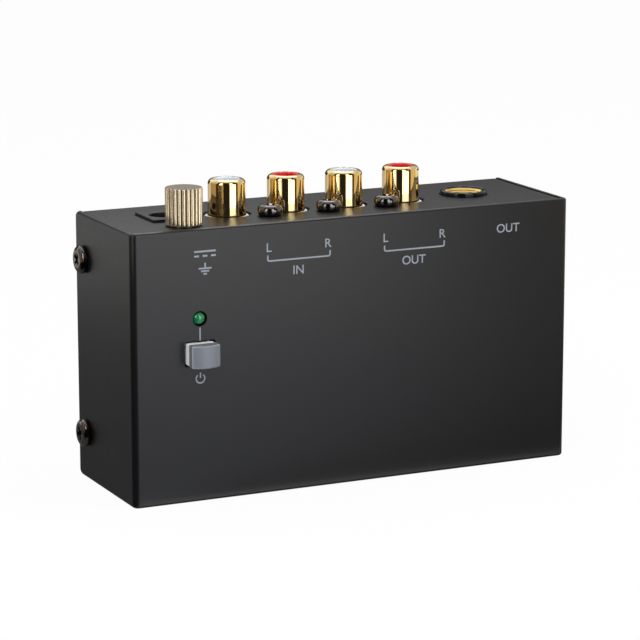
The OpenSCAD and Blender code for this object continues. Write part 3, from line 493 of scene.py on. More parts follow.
# %% [markdown]
# Bent sheets
#
# The cover and the chassis are both a strip of 1 mm steel bent twice into a U. Drawn as two boxes they
# would lose what shows a real sheet: the bend's radius, the edges that paint and shears have crowned, and
# the nipped corners. So a rounded cross-section is swept along the bent line, and it narrows near the
# line's two ends where the corners are rounded off.


# %% A bent line
def bent_line(corners, bend, ends, steps=10):
    """Stations along a bent line, each with its place, its outward side and its distance from the end."""
    corners = [Vector(c) for c in corners]
    runs = [(b - a).normalized() for a, b in zip(corners, corners[1:])]
    sides = [Vector((d.y, -d.x)) for d in runs]
    length = (corners[1] - corners[0]).length
    stations = [(corners[0] + runs[0] * d, sides[0], d) for d in ends]
    for corner, side, after in zip(corners[1:-1], sides, sides[1:]):
        centre = corner - (side + after) * bend
        for k in range(steps + 1):
            turn = Matrix.Rotation(pi / 2 * k / steps, 2) @ side
            stations.append((centre + turn * bend, turn, length))
    stations += [(corners[-1] - runs[-1] * d, sides[-1], d) for d in reversed(ends)]
    return stations


print("bent line of a square U:", len(bent_line([(0, 1), (0, 0), (1, 0), (1, 1)], 0.1, [0])), "stations")


# %% A sheet's cross-section
def sheet_section(outer, inner, low, high, crown_w, crown_h, inner_r, steps=8):
    """A sheet's cross-section as [depth, across] points. Its edges fall off toward the outer face."""
    arc = quarter_turn(steps)
    section = [(outer + crown_w * (1 - sin(a)), low + crown_h * (1 - cos(a))) for a in arc]
    section += [(outer + crown_w * (1 - cos(a)), high - crown_h * (1 - sin(a))) for a in arc]
    section += [(inner - inner_r * (1 - sin(a)), high - inner_r * (1 - cos(a))) for a in arc[::2]]
    section += [(inner - inner_r * (1 - cos(a)), low + inner_r * (1 - sin(a))) for a in arc[::2]]
    return section


def quarter(distance, radius):
    """How far a rounded edge stands back at a distance from its end."""
    if distance >= radius:
        return 0.0
    return radius - sqrt(radius ** 2 - (radius - distance) ** 2)


print("a section has", len(sheet_section(0, 1, 0, 10, 0.3, 0.3, 0.1)), "points")


# %% A swept sheet
def bent_sheet(corners, bend, thick, low, high, crown, inner_r, corner_r, end_r, place):
    ends = sorted({end_r * s for s in (0, 0.1, 0.3, 0.6, 1)}
                  | {corner_r * s for s in (0.1, 0.25, 0.45, 0.7, 1)})
    sections = []
    for point, side, distance in bent_line(corners, bend, ends):
        back = quarter(distance, end_r)
        nip = quarter(distance, corner_r)
        share = (thick - 2 * back) / thick
        section = sheet_section(back, thick - back, low + nip, high - nip, crown[0] * share, crown[1] * share,
                                inner_r * share)
        sections.append([place(point - side * depth, across) for depth, across in section])
    return loft(sections)


SHEET, BEND_R = 1.0, 1.4
print("sheet sweep ready, for", SHEET, "mm sheet bent to", BEND_R, "mm")

# %% [markdown]
# Cover
#
# The cover is the label face with a flange bent back at each side. Its upper and lower edges are well
# rounded, and the flanges' back corners are nipped to a radius. It has a window for the button, a hole for
# the lamp and two screw holes in each flange. A press punches the flat sheet and bends it after. Here it
# is bent first, because the cutters then stay straight.

# %% Bend the cover
cover_line = [(case_low.x, case_high.y), (case_low.x, case_low.y),
              (case_high.x, case_low.y), (case_high.x, case_high.y)]
cover = as_object("cover_sheet", bent_sheet(
    cover_line, BEND_R, SHEET, case_low.z, case_high.z, crown=(0.75, 0.6), inner_r=0.25, corner_r=1.4,
    end_r=0.35, place=lambda point, across: (point.x, point.y, across),
))
print("cover bent,", len(cover.data.polygons), "faces")

# %% Punch the cover
CUT, SCREW_LIP = 3, 0.1
BUTTON_GAP, WINDOW_CORNER, WINDOW_LIP = 0.25, 0.5, 0.2
LAMP_HOLE_R, LAMP_LIP = 1.65, 0.06
CASE_SCREW_R, FLANGE_HOLE_R = 3.15, 1.65
cap_low, cap_high = mm_box("button_cap")
cap_size = cap_high - cap_low
button_middle, lamp_middle = mm_middle("button_cap"), mm_middle("lamp_lens")
window = window_cutter(cap_size.x + 2 * BUTTON_GAP, cap_size.z + 2 * BUTTON_GAP, WINDOW_CORNER, CUT, WINDOW_LIP)
lamp_hole = round_cutter(LAMP_HOLE_R, CUT, LAMP_LIP, 48)
screw_low, screw_high = mm_box("case_screws")
case_screw_y = (screw_low.y + screw_high.y) / 2
case_screw_zs = [screw_low.z + CASE_SCREW_R, screw_high.z - CASE_SCREW_R]
case_screw_places = [((x, case_screw_y, z), facing) for x, facing in ((case_low.x, LEFT), (case_high.x, RIGHT))
                     for z in case_screw_zs]
carve(cover, [
    moved(window, (button_middle.x, case_low.y, button_middle.z), FRONT),
    moved(lamp_hole, (lamp_middle.x, case_low.y, lamp_middle.z), FRONT),
    *[moved(round_cutter(FLANGE_HOLE_R, CUT, SCREW_LIP, 32), at, facing) for at, facing in case_screw_places],
])
dress(cover, "cover_paint", ["cover"])

# %% [markdown]
# Chassis
#
# The chassis is bent the other way: the socket panel on top, the back plate and the lower panel. The panel
# lies a little lower than the cover's edge, which draws the dark seam round it. It is punched for every
# socket, and each hole is a little wider than what comes through it, which leaves dark rings.

# %% Bend the chassis
PANEL_SINK = 0.2
panel_low, panel_high = mm_box("chassis")
panel_z = panel_high.z - PANEL_SINK
chassis_line = [(panel_low.y, panel_low.z), (panel_high.y, panel_low.z),
                (panel_high.y, panel_z), (panel_low.y, panel_z)]
chassis = as_object("chassis_sheet", bent_sheet(
    chassis_line, BEND_R, SHEET - PANEL_SINK, panel_low.x, panel_high.x, crown=(0.4, 0.4), inner_r=0.2,
    corner_r=0.45, end_r=0.45, place=lambda point, across: (across, point.x, point.y),
))
print("chassis bent,", len(chassis.data.polygons), "faces")

# %% Punch the socket panel
CHANNELS = ("in_left", "in_right", "out_left", "out_right")
phono_middles = [mm_middle("phono_shell_" + channel) for channel in CHANNELS]
jack_middle, stud_middle = mm_middle("jack_ferrule"), mm_middle("ground_stud")
power_low, power_high = mm_box("power_body")
power_middle, power_size = (power_low + power_high) / 2, power_high - power_low
BLOCK_SCREW_R = 2.8
block_screw_low, block_screw_high = mm_box("phono_screws")
block_screw_y = (block_screw_low.y + block_screw_high.y) / 2
block_screw_pitch = (block_screw_high.x - block_screw_low.x - 2 * BLOCK_SCREW_R) / 2
block_screw_xs = [block_screw_low.x + BLOCK_SCREW_R + k * block_screw_pitch for k in range(3)]
PAINT_LIP, INLET_GAP, INLET_CORNER = 0.08, 0.2, 0.4
PHONO_HOLE_R, JACK_HOLE_R, STUD_HOLE_R, BLOCK_SCREW_HOLE_R = 5.35, 5.5, 2.05, 1.45
panel_holes = [(m.x, m.y, PHONO_HOLE_R, PAINT_LIP, 72) for m in phono_middles]
panel_holes.append((jack_middle.x, jack_middle.y, JACK_HOLE_R, PAINT_LIP, 72))
panel_holes.append((stud_middle.x, stud_middle.y, STUD_HOLE_R, SCREW_LIP, 40))
panel_holes += [(x, block_screw_y, BLOCK_SCREW_HOLE_R, SCREW_LIP, 32) for x in block_screw_xs]
inlet_hole = [side + 2 * INLET_GAP for side in power_size.xy]
carve(chassis, [
    *[moved(round_cutter(r, CUT, lip, steps), (x, y, panel_z)) for x, y, r, lip, steps in panel_holes],
    moved(window_cutter(*inlet_hole, INLET_CORNER, CUT, PAINT_LIP), (power_middle.x, power_middle.y, panel_z)),
])
dress(chassis, "chassis_paint", ["chassis"])

# %% [markdown]
# Ears
#
# A small ear is turned in behind each flange, and the case screws go into it. An ear is a plain plate with
# rounded corners, so an outline is raised to the sheet's thickness and drilled.

# %% Cut and drill the ears
EAR_DEEP, EAR_INSET, EAR_CORNER, EAR_HOLE_R = 12, 5, 1.2, 1.55
ear_middle = (panel_high.y - SHEET - (EAR_DEEP - SHEET) / 2, (case_low.z + case_high.z) / 2)
ear_sides = ((panel_low.x, LEFT), (panel_high.x, RIGHT))
ears = []
for x, facing in ear_sides:
    outline = rounded_rectangle(EAR_DEEP - SHEET, case_high.z - 2 * EAR_INSET, EAR_CORNER)
    ears.append(moved(raised(outline, -SHEET, 0), (x, *ear_middle), facing))
ear_plates = carve(as_object("chassis_ears", joined(ears)), [
    moved(round_cutter(EAR_HOLE_R, CUT, SCREW_LIP, 32), (x, case_screw_y, z), facing)
    for x, facing in ear_sides for z in case_screw_zs
])
dress(ear_plates, "chassis_paint")

# %% [markdown]
# Pan-head screws
#
# Seven screws show: two in each flange and three in the panel. Their heads bulge out above the seat, round
# over to a crown, and dip a little in the middle, with a cross recess. The head is a spun profile, and the
# recess is cut by a tapered cross, because a flat painted cross would not hold its own shadow.


# %% Helpers for screws
SEAT_SHARE, ARM_SHARE, SLOT_SHARE = 0.2, 0.46, 0.14
DISH_STEPS = 8


def pan_screw(head_r, head_h, thread_r, length, rim_share, crown_share, dish):
    """The widest ring lies at a share of the head's height, and the crown takes a share of its radius."""
    rim_h, foot_w, crown_w = rim_share * head_h, SEAT_SHARE * head_r, crown_share * head_r
    arc = quarter_turn(9)
    profile = [(0, -length), (thread_r, -length), (thread_r, 0)]
    profile += [(head_r - foot_w * (1 - sin(a)), rim_h * (1 - cos(a))) for a in arc]
    profile += [(head_r - crown_w * (1 - cos(a)), rim_h + (head_h - rim_h) * sin(a)) for a in arc[1:]]
    for k in range(1, DISH_STEPS + 1):
        share = k / DISH_STEPS
        profile.append(((head_r - crown_w) * (1 - share), head_h - dish * (1 - cos(pi * share)) / 2))
    return spin(profile, 60)


def cross_cutter(head_r, head_h):
    arm, half = head_r * ARM_SHARE, head_r * SLOT_SHARE
    cross = []
    for k in range(4):
        turn = Matrix.Rotation(pi / 2 * k, 2)
        cross += [turn @ Vector(p) for p in ((half, half), (half, arm), (-half, arm))]
    sections = ((1.12, head_h + 0.5), (1.0, head_h - 0.15), (0.5, head_h * 0.35))
    return loft([[(p.x * s, p.y * s, z) for p in cross] for s, z in sections])


def screw_piece(name, head_r, head_h, thread_r, length, head_shares, at, facing, spin_deg):
    screw = as_object(name, pan_screw(head_r, head_h, thread_r, length, *head_shares), at,
                      facing @ Matrix.Rotation(radians(spin_deg), 3, "Z"))
    return carve(screw, [cross_cutter(head_r, head_h)])


print("screws can be turned and recessed")

# %% Turn the screws
CASE_THREAD_R, CASE_SCREW_LEN, CASE_HEAD = 1.5, 5, (0.4, 0.4, 0.12)
BLOCK_THREAD_R, BLOCK_SCREW_LEN, BLOCK_HEAD = 1.3, 7, (0.45, 0.45, 0.5)
case_screw_h = case_low.x - screw_low.x
for k, (at, facing) in enumerate(case_screw_places):
    screw = screw_piece("case_screw_%d" % (k + 1), CASE_SCREW_R, case_screw_h, CASE_THREAD_R, CASE_SCREW_LEN,
                        CASE_HEAD, at, facing, 20 + 33 * k)
    dress(screw, "black_nickel", ["case_screws"], sharp=50)
block_screw_h = block_screw_high.z - panel_z
for k, x in enumerate(block_screw_xs):
    screw = screw_piece("block_screw_%d" % (k + 1), BLOCK_SCREW_R, block_screw_h, BLOCK_THREAD_R,
                        BLOCK_SCREW_LEN, BLOCK_HEAD, (x, block_screw_y, panel_z), UP, 12 + 41 * k)
    dress(screw, "black_screw", ["phono_screws"], sharp=50)

# %% [markdown]
# Phono sockets
#
# Each socket is a gold-plated shell with a rounded rim and a slightly flared foot, pressed over a coloured
# insert that lies flush with the rim. A pale collar, sunk in the panel's hole, shows as a small crescent
# beside the foot. All of these are turned or moulded round one axis, so a spun profile gives them exactly.

# %% Draw the profiles of a phono socket
SHELL_R, SHELL_WALL = 4.15, 1.1
FLARE_W, FLARE_H, FLARE_STEPS = 0.13, 2.4, 8
COLLAR_R, COLLAR_T, COLLAR_SINK, COLLAR_FIT = 4.9, 1.5, 0.3, 0.02
shell_low, shell_high = mm_box("phono_shell_in_left")
shell_foot, foot_z = shell_low.z - shell_high.z, panel_z - shell_high.z
bore_r, flare_r = SHELL_R - SHELL_WALL, SHELL_R + FLARE_W
flare = [(SHELL_R + FLARE_W * (1 - k / FLARE_STEPS) ** 2, foot_z + FLARE_H * k / FLARE_STEPS)
         for k in range(FLARE_STEPS + 1)]
shell_corners = [(bore_r, shell_foot), (flare_r, shell_foot), *flare, (SHELL_R, 0), (bore_r, 0)]
shell_radii = [0, 0.2] + [0] * len(flare) + [1.05, 0.04]
collar_in = flare_r - COLLAR_FIT
collar_corners = [(collar_in, -COLLAR_T), (COLLAR_R, -COLLAR_T), (COLLAR_R, 0), (collar_in, 0)]
INSERT_FIT, INSERT_SINK, INSERT_BORE_R, MOUTH_R, MOUTH_DEEP = 0.03, 0.05, 1.9, 2.2, 1.25
insert_r = bore_r - INSERT_FIT
insert_corners = [(INSERT_BORE_R, shell_foot), (insert_r, shell_foot), (insert_r, -INSERT_SINK),
                  (MOUTH_R, -INSERT_SINK), (MOUTH_R, -MOUTH_DEEP), (INSERT_BORE_R, -MOUTH_DEEP)]
insert_radii = [0, 0, 0.08, 0.3, 0.1, 0.05]
print("shell profile:", len(shell_corners), "corners, flared to", round(flare_r, 2), "mm")

# %% Turn the phono shells, their collars and their inserts
for channel, middle in zip(CHANNELS, phono_middles):
    at = (middle.x, middle.y, shell_high.z)
    shell = as_object("phono_shell_%s_turned" % channel, spin(fillet(shell_corners, shell_radii, 8), 128), at)
    dress(shell, "gold_plate", ["phono_shell_" + channel])
    collar = as_object("phono_collar_" + channel, spin(fillet(collar_corners, [0, 0.1, 0.25, 0.1]), 96),
                       (middle.x, middle.y, panel_z - COLLAR_SINK))
    dress(collar, "pale_nylon")
    insert = as_object("phono_insert_%s_moulded" % channel,
                       spin(fillet(insert_corners, insert_radii, 6), 96), at)
    tint = "white_plastic" if channel.endswith("left") else "red_plastic"
    dress(insert, tint, ["phono_insert_" + channel])

# %% [markdown]
# Jack
#
# The large jack shows as a glossy black nose with a rounded edge. Under the panel the nose belongs to a
# moulded block, which is cut by the same bore. The nose is spun and the block lofted, since one is round
# and the other is not.

# %% Mould the jack's nose and block
NOSE_R, FERRULE_R, BORE_R, FERRULE_FIT = 5.3, 4.45, 3.2, 0.05
jack_low, jack_high = mm_box("jack_body")
ferrule_low, ferrule_high = mm_box("jack_ferrule")
under_panel = panel_high.z - SHEET
nose_in, nose_foot = FERRULE_R + 0.04, under_panel - jack_high.z - 0.5
nose_corners = [(nose_in, nose_foot), (NOSE_R, nose_foot), (NOSE_R, 0), (nose_in, 0)]
jack_at = (jack_middle.x, jack_middle.y, jack_high.z)
nose = as_object("jack_nose", spin(fillet(nose_corners, [0, 0, 0.42, 0.35], 8), 128), jack_at)
dress(nose, "black_plastic", paint="nose_gloss")
block_outline = rounded_rectangle(jack_high.x - jack_low.x, jack_high.y - jack_low.y, 0.6)
block_middle = (jack_low + jack_high) / 2
jack_block = as_object("jack_block", loft([
    [(block_middle.x + p.x * s, block_middle.y + p.y * s, z) for p in block_outline]
    for z, s in ((jack_low.z, 0.97), (jack_low.z + 0.3, 1), (under_panel - 0.3, 1), (under_panel, 0.97))
]))
seat_r, way_r = FERRULE_R + FERRULE_FIT, 3.6
bore_steps = ((jack_low.z - 1, way_r), (ferrule_low.z, way_r),
              (ferrule_low.z + 0.01, seat_r), (jack_high.z + 1, seat_r))
bore = loft([[(p.x, p.y, z) for p in circle(r)] for z, r in bore_steps])
carve(jack_block, [moved(bore, (jack_middle.x, jack_middle.y, 0))])
dress(jack_block, "black_plastic", ["jack_body"])

# %% [markdown]
# Ferrule
#
# Inside the nose sits a gold ferrule: a funnel that leads a plug into its bore, with the grooves that the
# turning tool left. The grooves are steps in the spun profile, because a bump would not break up the edge
# between gold and black.

# %% Turn the ferrule
FERRULE_SINK = 0.3
ferrule_top, ferrule_foot = ferrule_high.z - jack_high.z - FERRULE_SINK, ferrule_low.z - jack_high.z
funnel_steps = [(4.38, 0), (3.9, 0.38), (3.93, 0.5), (3.6, 0.8), (3.63, 0.92), (3.3, 1.25), (BORE_R, 1.6)]
funnel = [(BORE_R, ferrule_foot), (FERRULE_R, ferrule_foot), (FERRULE_R, ferrule_top)]
funnel += [(r, ferrule_top - depth) for r, depth in funnel_steps]
ferrule = as_object("jack_ferrule_turned", spin(funnel, 128), jack_at)
dress(ferrule, "gold_plate", ["jack_ferrule"], paint="ferrule_gold", sharp=25)

# %% [markdown]
# Power inlet
#
# The inlet is a moulded slab that stands a little out of the panel, with a round hole for the plug and a
# pin in it. Its edges and the hole's mouth are rounded, as on any moulding, so the slab is lofted with the
# rounding drawn in, and a flared cutter makes the hole.

# %% Mould the power inlet
INLET_EDGE, INLET_HOLE_R, INLET_AXIS_H = 0.12, 3.2, 5.7
power_outline = rounded_rectangle(power_size.x, power_size.y, 0.35)
inlet_sections = [(-power_size.z, 0.0)]
inlet_sections += [(-INLET_EDGE * (1 - sin(a)), INLET_EDGE * (1 - cos(a))) for a in quarter_turn(5)]
inlet = as_object("power_inlet", loft([
    [(p.x * (1 - 2 * back / power_size.x), p.y * (1 - 2 * back / power_size.y), z) for p in power_outline]
    for z, back in inlet_sections
]), (power_middle.x, power_middle.y, power_high.z))
inlet_y = power_high.y - INLET_AXIS_H - power_middle.y
carve(inlet, [moved(round_cutter(INLET_HOLE_R, 10, 0.25), (0, inlet_y, 0))])
dress(inlet, "black_plastic", ["power_body"])

# %% [markdown]
# Ground post
#
# A brass thumb nut with straight ridges closes the ground post, and its skirt hangs over a washer. The
# ridges are cut first and the chamfers are turned after them, so each ridge runs out in the chamfer. That
# is copied here: every section of the loft is the ridged outline, held inside the chamfer's radius there.

# %% Cut the thumb nut
NUT_R, RIDGES, GROOVE = 4.05, 24, 0.45
STEPS_PER_RIDGE = 12
SKIRT, SKIRT_BORE_R = 0.36, 3.62


def ridged_outline(limit):
    outline = []
    for k in range(RIDGES * STEPS_PER_RIDGE):
        phase = 2 * abs((k / STEPS_PER_RIDGE) % 1 - 0.5)
        r = min(NUT_R - GROOVE * phase ** 2.5, limit)
        a = 2 * pi * k / (RIDGES * STEPS_PER_RIDGE)
        outline.append((r * cos(a), r * sin(a)))
    return outline


nut_low, nut_high = mm_box("thumb_nut")
nut_middle = (nut_low + nut_high) / 2
nut_h = nut_high.z - nut_low.z
nut_sections = [
    (-SKIRT, NUT_R - 0.12), (0.1 - SKIRT, NUT_R), (nut_h - 0.2, NUT_R), (nut_h - 0.08, NUT_R - 0.05),
    (nut_h, NUT_R - 0.18),
]
nut_bm = loft([[(x, y, z) for x, y in ridged_outline(limit)] for z, limit in nut_sections])
nut = as_object("thumb_nut_ridged", nut_bm, (nut_middle.x, nut_middle.y, nut_low.z))
carve(nut, [raised(circle(SKIRT_BORE_R), -1, 0)])
dress(nut, "nut_brass", ["thumb_nut"], "thumb_nut", paint="nut_ridges", sharp=40)

# %% Turn the washer
WASHER_BORE_R = 2.15
washer_low, washer_high = mm_box("ground_washer")
washer_r, washer_t = (washer_high.x - washer_low.x) / 2, washer_high.z - washer_low.z
washer_corners = [(WASHER_BORE_R, -PANEL_SINK), (washer_r, -PANEL_SINK), (washer_r, washer_t),
                  (WASHER_BORE_R, washer_t)]
washer = as_object("ground_washer_turned", spin(fillet(washer_corners, [0.1] * 4), 72),
                   (nut_middle.x, nut_middle.y, washer_low.z))
dress(washer, "nut_brass", ["ground_washer"], "washer")

# %% [markdown]
# Painted shade between the ridges
#
# The walls of the grooves get little light, so a darker brown is painted on them as shade. The shader finds a
# groove by its distance from the nut's axis, and keeps to the wall by the normal's height, so the top stays
# bright. A picture would have to be wrapped round the nut for the same.


# %% Paint shade into the nut's grooves
def lay_over(tree, share, colour):
    """Lays a colour over a finish's own colour, as far as a share from 0 to 1 says."""
    own = tree.nodes["Principled BSDF"].inputs["Base Color"]
    tree.links.new(mix_colours(tree, share, own.links[0].from_socket, colour), own)


# painted shade: a brown laid on the groove walls, darkest at the groove's root, where little light falls
UNSHADED_TIP, WALL_LEAN, GROOVE_SHADE = 0.08, (0.2, 0.6), srgb(92, 82, 62)
tree = finishes["nut_ridges"].node_tree
from_axis = flat_distance(tree, *axes_of(tree, "Object")[:2])
groove_shade_share = spread(tree, from_axis, 1.0, 0.0, (NUT_R - GROOVE) * MM, (NUT_R - UNSHADED_TIP) * MM)
wall_share = spread(tree, axes_of(tree, "Normal")[2], 1.0, 0.0, *WALL_LEAN)
lay_over(tree, arithmetic(tree, "MULTIPLY", groove_shade_share, wall_share), GROOVE_SHADE)
print("nut:", RIDGES, "ridges, shade_painted", GROOVE, "mm deep")

# %% [markdown]
# Button cap
#
# The grey cap has a face that bulges about an upright axis, and softly rounded edges. It is an outline
# drawn from above, lofted upward, with the sections near the top and the bottom drawn back to round the
# edges.

# %% Mould the button cap
CROWN, EDGE_R = 1.1, 0.3


def cap_outline(back, steps=14):
    """The cap from above, its front toward -Y, drawn back from its edges."""
    half = cap_size.x / 2 - back
    bulge_r = (half ** 2 + CROWN ** 2) / (2 * CROWN)
    xs = [half * (2 * k / steps - 1) for k in range(steps + 1)]
    front = [Vector((x, back + bulge_r - sqrt(bulge_r ** 2 - x ** 2))) for x in xs]
    corners = front + [Vector((half, cap_size.y)), Vector((-half, cap_size.y))]
    radii = [EDGE_R] + [0] * (steps - 1) + [EDGE_R, 0, 0]
    return fillet(corners, radii, 5)


def edge_sections(height, edge, steps=5):
    """Heights through a block, each with how far its rounded edge stands back there."""
    arc = reversed(quarter_turn(steps))
    lower = [(edge * (1 - sin(a)), edge * (1 - cos(a))) for a in arc]
    return lower + [(height - z, back) for z, back in reversed(lower)]


cap = as_object("button_cap_moulded", loft([
    [(p.x, p.y, z) for p in cap_outline(back)] for z, back in edge_sections(cap_size.z, EDGE_R)
]), (button_middle.x, cap_low.y, cap_low.z))
dress(cap, "button_grey", ["button_cap"], "button", sharp=40)

# %% [markdown]
# Painted light on the cap
#
# The cap's front keeps its grey. Where it curves away to its edges, a paler grey is painted as a highlight, and
# its sides take a warmer grey, painted for the shade and light they get. The normal's lean toward the front
# tells these apart, which follows the shape without a picture for a mask.

# %% Paint highlight and shade on the cap's edges and sides
# painted highlight: a paler grey where the front rounds off to its edges
EDGE_HIGHLIGHT_LEAN, EDGE_HIGHLIGHT_TONE = (-0.85, -0.7), srgb(156, 161, 168)
# painted shade and light: a warmer grey on the sides, set for how the lamps light them
SIDE_LIGHT_LEAN, SIDE_LIGHT_TONE = (-0.45, -0.2), srgb(122, 120, 120)
tree = finishes["button_grey"].node_tree
lean = axes_of(tree, "Normal")[1]
lay_over(tree, spread(tree, lean, 0.0, 1.0, *EDGE_HIGHLIGHT_LEAN), EDGE_HIGHLIGHT_TONE)
lay_over(tree, spread(tree, lean, 0.0, 1.0, *SIDE_LIGHT_LEAN), SIDE_LIGHT_TONE)
print("cap:", [round(v, 2) for v in cap_size], "mm, with painted_edge_and_side_light")

# %% [markdown]
# Plunger
#
# Behind the cap the pale plunger shows as a light band. Inside the case it narrows to a stem, and a foot
# holds it in the switch. Three raised outlines, one behind the other, make it.

# %% Mould the plunger
PLUNGER_INSET, PLUNGER_IN, FOOT_T = 0.1, 1.5, 1
STEM, FOOT, PLUNGER_CORNER = (4, 3), (5.4, 4.4), 0.2
foot_high = mm_box("switch_plunger")[1]
plunger_len = case_low.y + PLUNGER_IN - cap_high.y
stem_end, foot_end = cap_high.y - foot_high.y + FOOT_T, cap_high.y - foot_high.y
head_outline = rounded_rectangle(cap_size.x - 2 * PLUNGER_INSET, cap_size.z - 2 * PLUNGER_INSET, 0.35)
plunger_parts = [
    raised(head_outline, -plunger_len, 0),
    raised(rounded_rectangle(*STEM, PLUNGER_CORNER), stem_end, -plunger_len),
    raised(rounded_rectangle(*FOOT, PLUNGER_CORNER), foot_end, stem_end),
]
plunger_at = (button_middle.x, cap_high.y, button_middle.z)
plunger = as_object("switch_plunger_moulded",
                    joined([moved(part, plunger_at, FRONT) for part in plunger_parts]))
dress(plunger, "pale_nylon", ["switch_plunger"], "button")

# %% [markdown]
# Lamp
#
# The lamp is a green dome that just fills its hole. It is round, so one profile is spun: the dome, a short
# barrel and the rim that holds it behind the face.

# %% Spin the lamp
LENS_R, RIM_R, RIM_T = 1.5, 1.9, 1.0
lens_low, lens_high = mm_box("lamp_lens")
lens_len = lens_high.y - lens_low.y
lens_profile = [(0, -lens_len), (RIM_R, -lens_len), (RIM_R, RIM_T - lens_len), (LENS_R, RIM_T - lens_len)]
lens_profile += [(LENS_R * cos(a), -LENS_R + LENS_R * sin(a)) for a in quarter_turn(16)]
lens_profile[-1] = (0, 0)
lens_at = (lamp_middle.x, lens_low.y, lamp_middle.z)
lens = as_object("lamp_lens_moulded", spin(lens_profile, 64), lens_at, FRONT)
dress(lens, "lamp_green", ["lamp_lens"], sharp=50)

# %% [markdown]
# Return spring
#
# The switch's spring is wound from round wire, and it shortens as the button goes in. It is a helix drawn
# as a tube, with a mesh of its own.

# %% Wind the return spring
SPRING_R, WIRE_R, SPRING_TURNS = 1.5, 0.18, 5
spring_low, spring_high = mm_box("switch_spring")
coil_start, coil_end = spring_low.y + WIRE_R, spring_high.y - WIRE_R
coil_steps, wire_steps = SPRING_TURNS * 24, 10
coil_sections = []
for k in range(coil_steps + 1):
    a = 2 * pi * SPRING_TURNS * k / coil_steps
    outward = Vector((cos(a), 0, sin(a)))
    centre = Vector((button_middle.x, coil_start + (coil_end - coil_start) * k / coil_steps, button_middle.z))
    coil_sections.append([centre + outward * (SPRING_R + p.x) + Vector((0, p.y, 0))
                          for p in circle(WIRE_R, wire_steps)])
coil = dress(as_object("switch_spring_wound", loft(coil_sections)), "tinned_metal", ["switch_spring"])
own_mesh(coil)

# %% [markdown]
# Ink on the label face
#
# The face carries plain grey marks: letters for the channels, brackets that pair the sockets, short words
# and signs for what each socket does, and a line from the lamp to the button. They are thin raised shapes,
# as thick as screen-printed ink, so they stay crisp at any distance and need no picture.

# %% Helpers for ink
INK, STROKE = 0.015, 0.34
face_y = case_low.y


def ink(name, outlines):
    """Flat shapes on the label face, each a list of [x, z] points."""
    shapes = [loft([[(x, face_y - y, z) for x, z in outline] for y in (0, INK)]) for outline in outlines]
    return dress(as_object(name, joined(shapes)), "cover_paint", paint="print_grey")


def bar(x0, z0, x1, z1, width):
    """A straight stroke from one point to another."""
    along_stroke = Vector((x1 - x0, z1 - z0)).normalized() * width / 2
    across = Vector((-along_stroke.y, along_stroke.x))
    a, b = Vector((x0, z0)), Vector((x1, z1))
    return [a - across, b - across, b + across, a + across]


def bracket(x0, x1, low, high, corner):
    """A flat bracket open upward, with rounded corners, as one closed outline."""
    w = STROKE
    outline = [(x0, high), (x0, low), (x1, low), (x1, high),
               (x1 - w, high), (x1 - w, low + w), (x0 + w, low + w), (x0 + w, high)]
    return fillet(outline, [0, corner, corner, 0, 0, corner - w, corner - w, 0], 6)


print("strokes are", INK, "mm thick and", STROKE, "mm wide")


# %% A helper for letters
CAP_SHARE = 0.69


def letters(name, text, x, z, cap_height):
    curve = bpy.data.curves.new(name, "FONT")
    curve.body = text
    curve.align_x = "CENTER"
    curve.align_y = "CENTER"
    curve.size = cap_height * MM / CAP_SHARE
    curve.extrude = INK * MM / 2
    curve.offset = 0.02 * MM
    text_obj = bpy.data.objects.new(name + "_draft", curve)
    scene.collection.objects.link(text_obj)
    mesh = settled_mesh(text_obj)
    bpy.data.objects.remove(text_obj)
    obj = bpy.data.objects.new(name, mesh)
    obj.matrix_world = Matrix.Translation(Vector((x, face_y - INK / 2, z)) * MM) @ FRONT.to_4x4()
    scene.collection.objects.link(obj)
    return dress(obj, "cover_paint", paint="print_grey")


print("capitals take", CAP_SHARE, "of a letter's size")

# %% [markdown]
# Marks at the sockets
#
# A letter stands under each phono socket, a bracket joins the two of a pair, and a word names the pair.
# The outgoing pair stands a touch lower, as it does on the printed face. The letters come from Blender's
# own font and become meshes, so no font file is read.

# %% Print the socket marks
LETTER_H = 1.9
LEFT_Z, RIGHT_Z, WORD_Z, JACK_WORD = 54.55, 54.45, 49.15, (37.5, 54.27)
BRACKET_LOW, BRACKET_HIGH, BRACKET_CORNER = 51.52, 52.95, 0.6
for pair, word, left_x, right_x, drop in (("in", "IN", -21.2, -7.1, 0), ("out", "OUT", 6.9, 20.9, 0.12)):
    letters("mark_%s_left" % pair, "L", left_x, LEFT_Z - drop, LETTER_H)
    letters("mark_%s_right" % pair, "R", right_x, RIGHT_Z - drop, LETTER_H)
    ink("bracket_" + pair,
        [bracket(left_x - 0.4, right_x + 0.7, BRACKET_LOW - drop, BRACKET_HIGH - drop, BRACKET_CORNER)])
    letters("mark_%s_pair" % pair, word, (left_x + right_x) / 2, WORD_Z - drop, LETTER_H)
letters("mark_jack", "OUT", *JACK_WORD, LETTER_H)

# %% [markdown]
# Signs for supply, ground and power
#
# The supply sign is a bar over three dashes, and the ground sign is a stem over three shrinking bars. The
# power sign is an open ring with a stroke in its gap, and short straight strokes make the ring.

# %% Print the signs
SUPPLY_X, SUPPLY_Z, DASHES_Z, SUPPLY_STROKE = -38.6, 55.1, 54.1, 0.4
GROUND_X, GROUND_STROKE = -36.1, 0.35
POWER_X, POWER_Z, POWER_R, POWER_STROKE = -37.4, 27.4, 1.0, 0.32


def on_power_ring(bearing):
    a = radians(bearing)
    return POWER_X + POWER_R * sin(a), POWER_Z + POWER_R * cos(a)


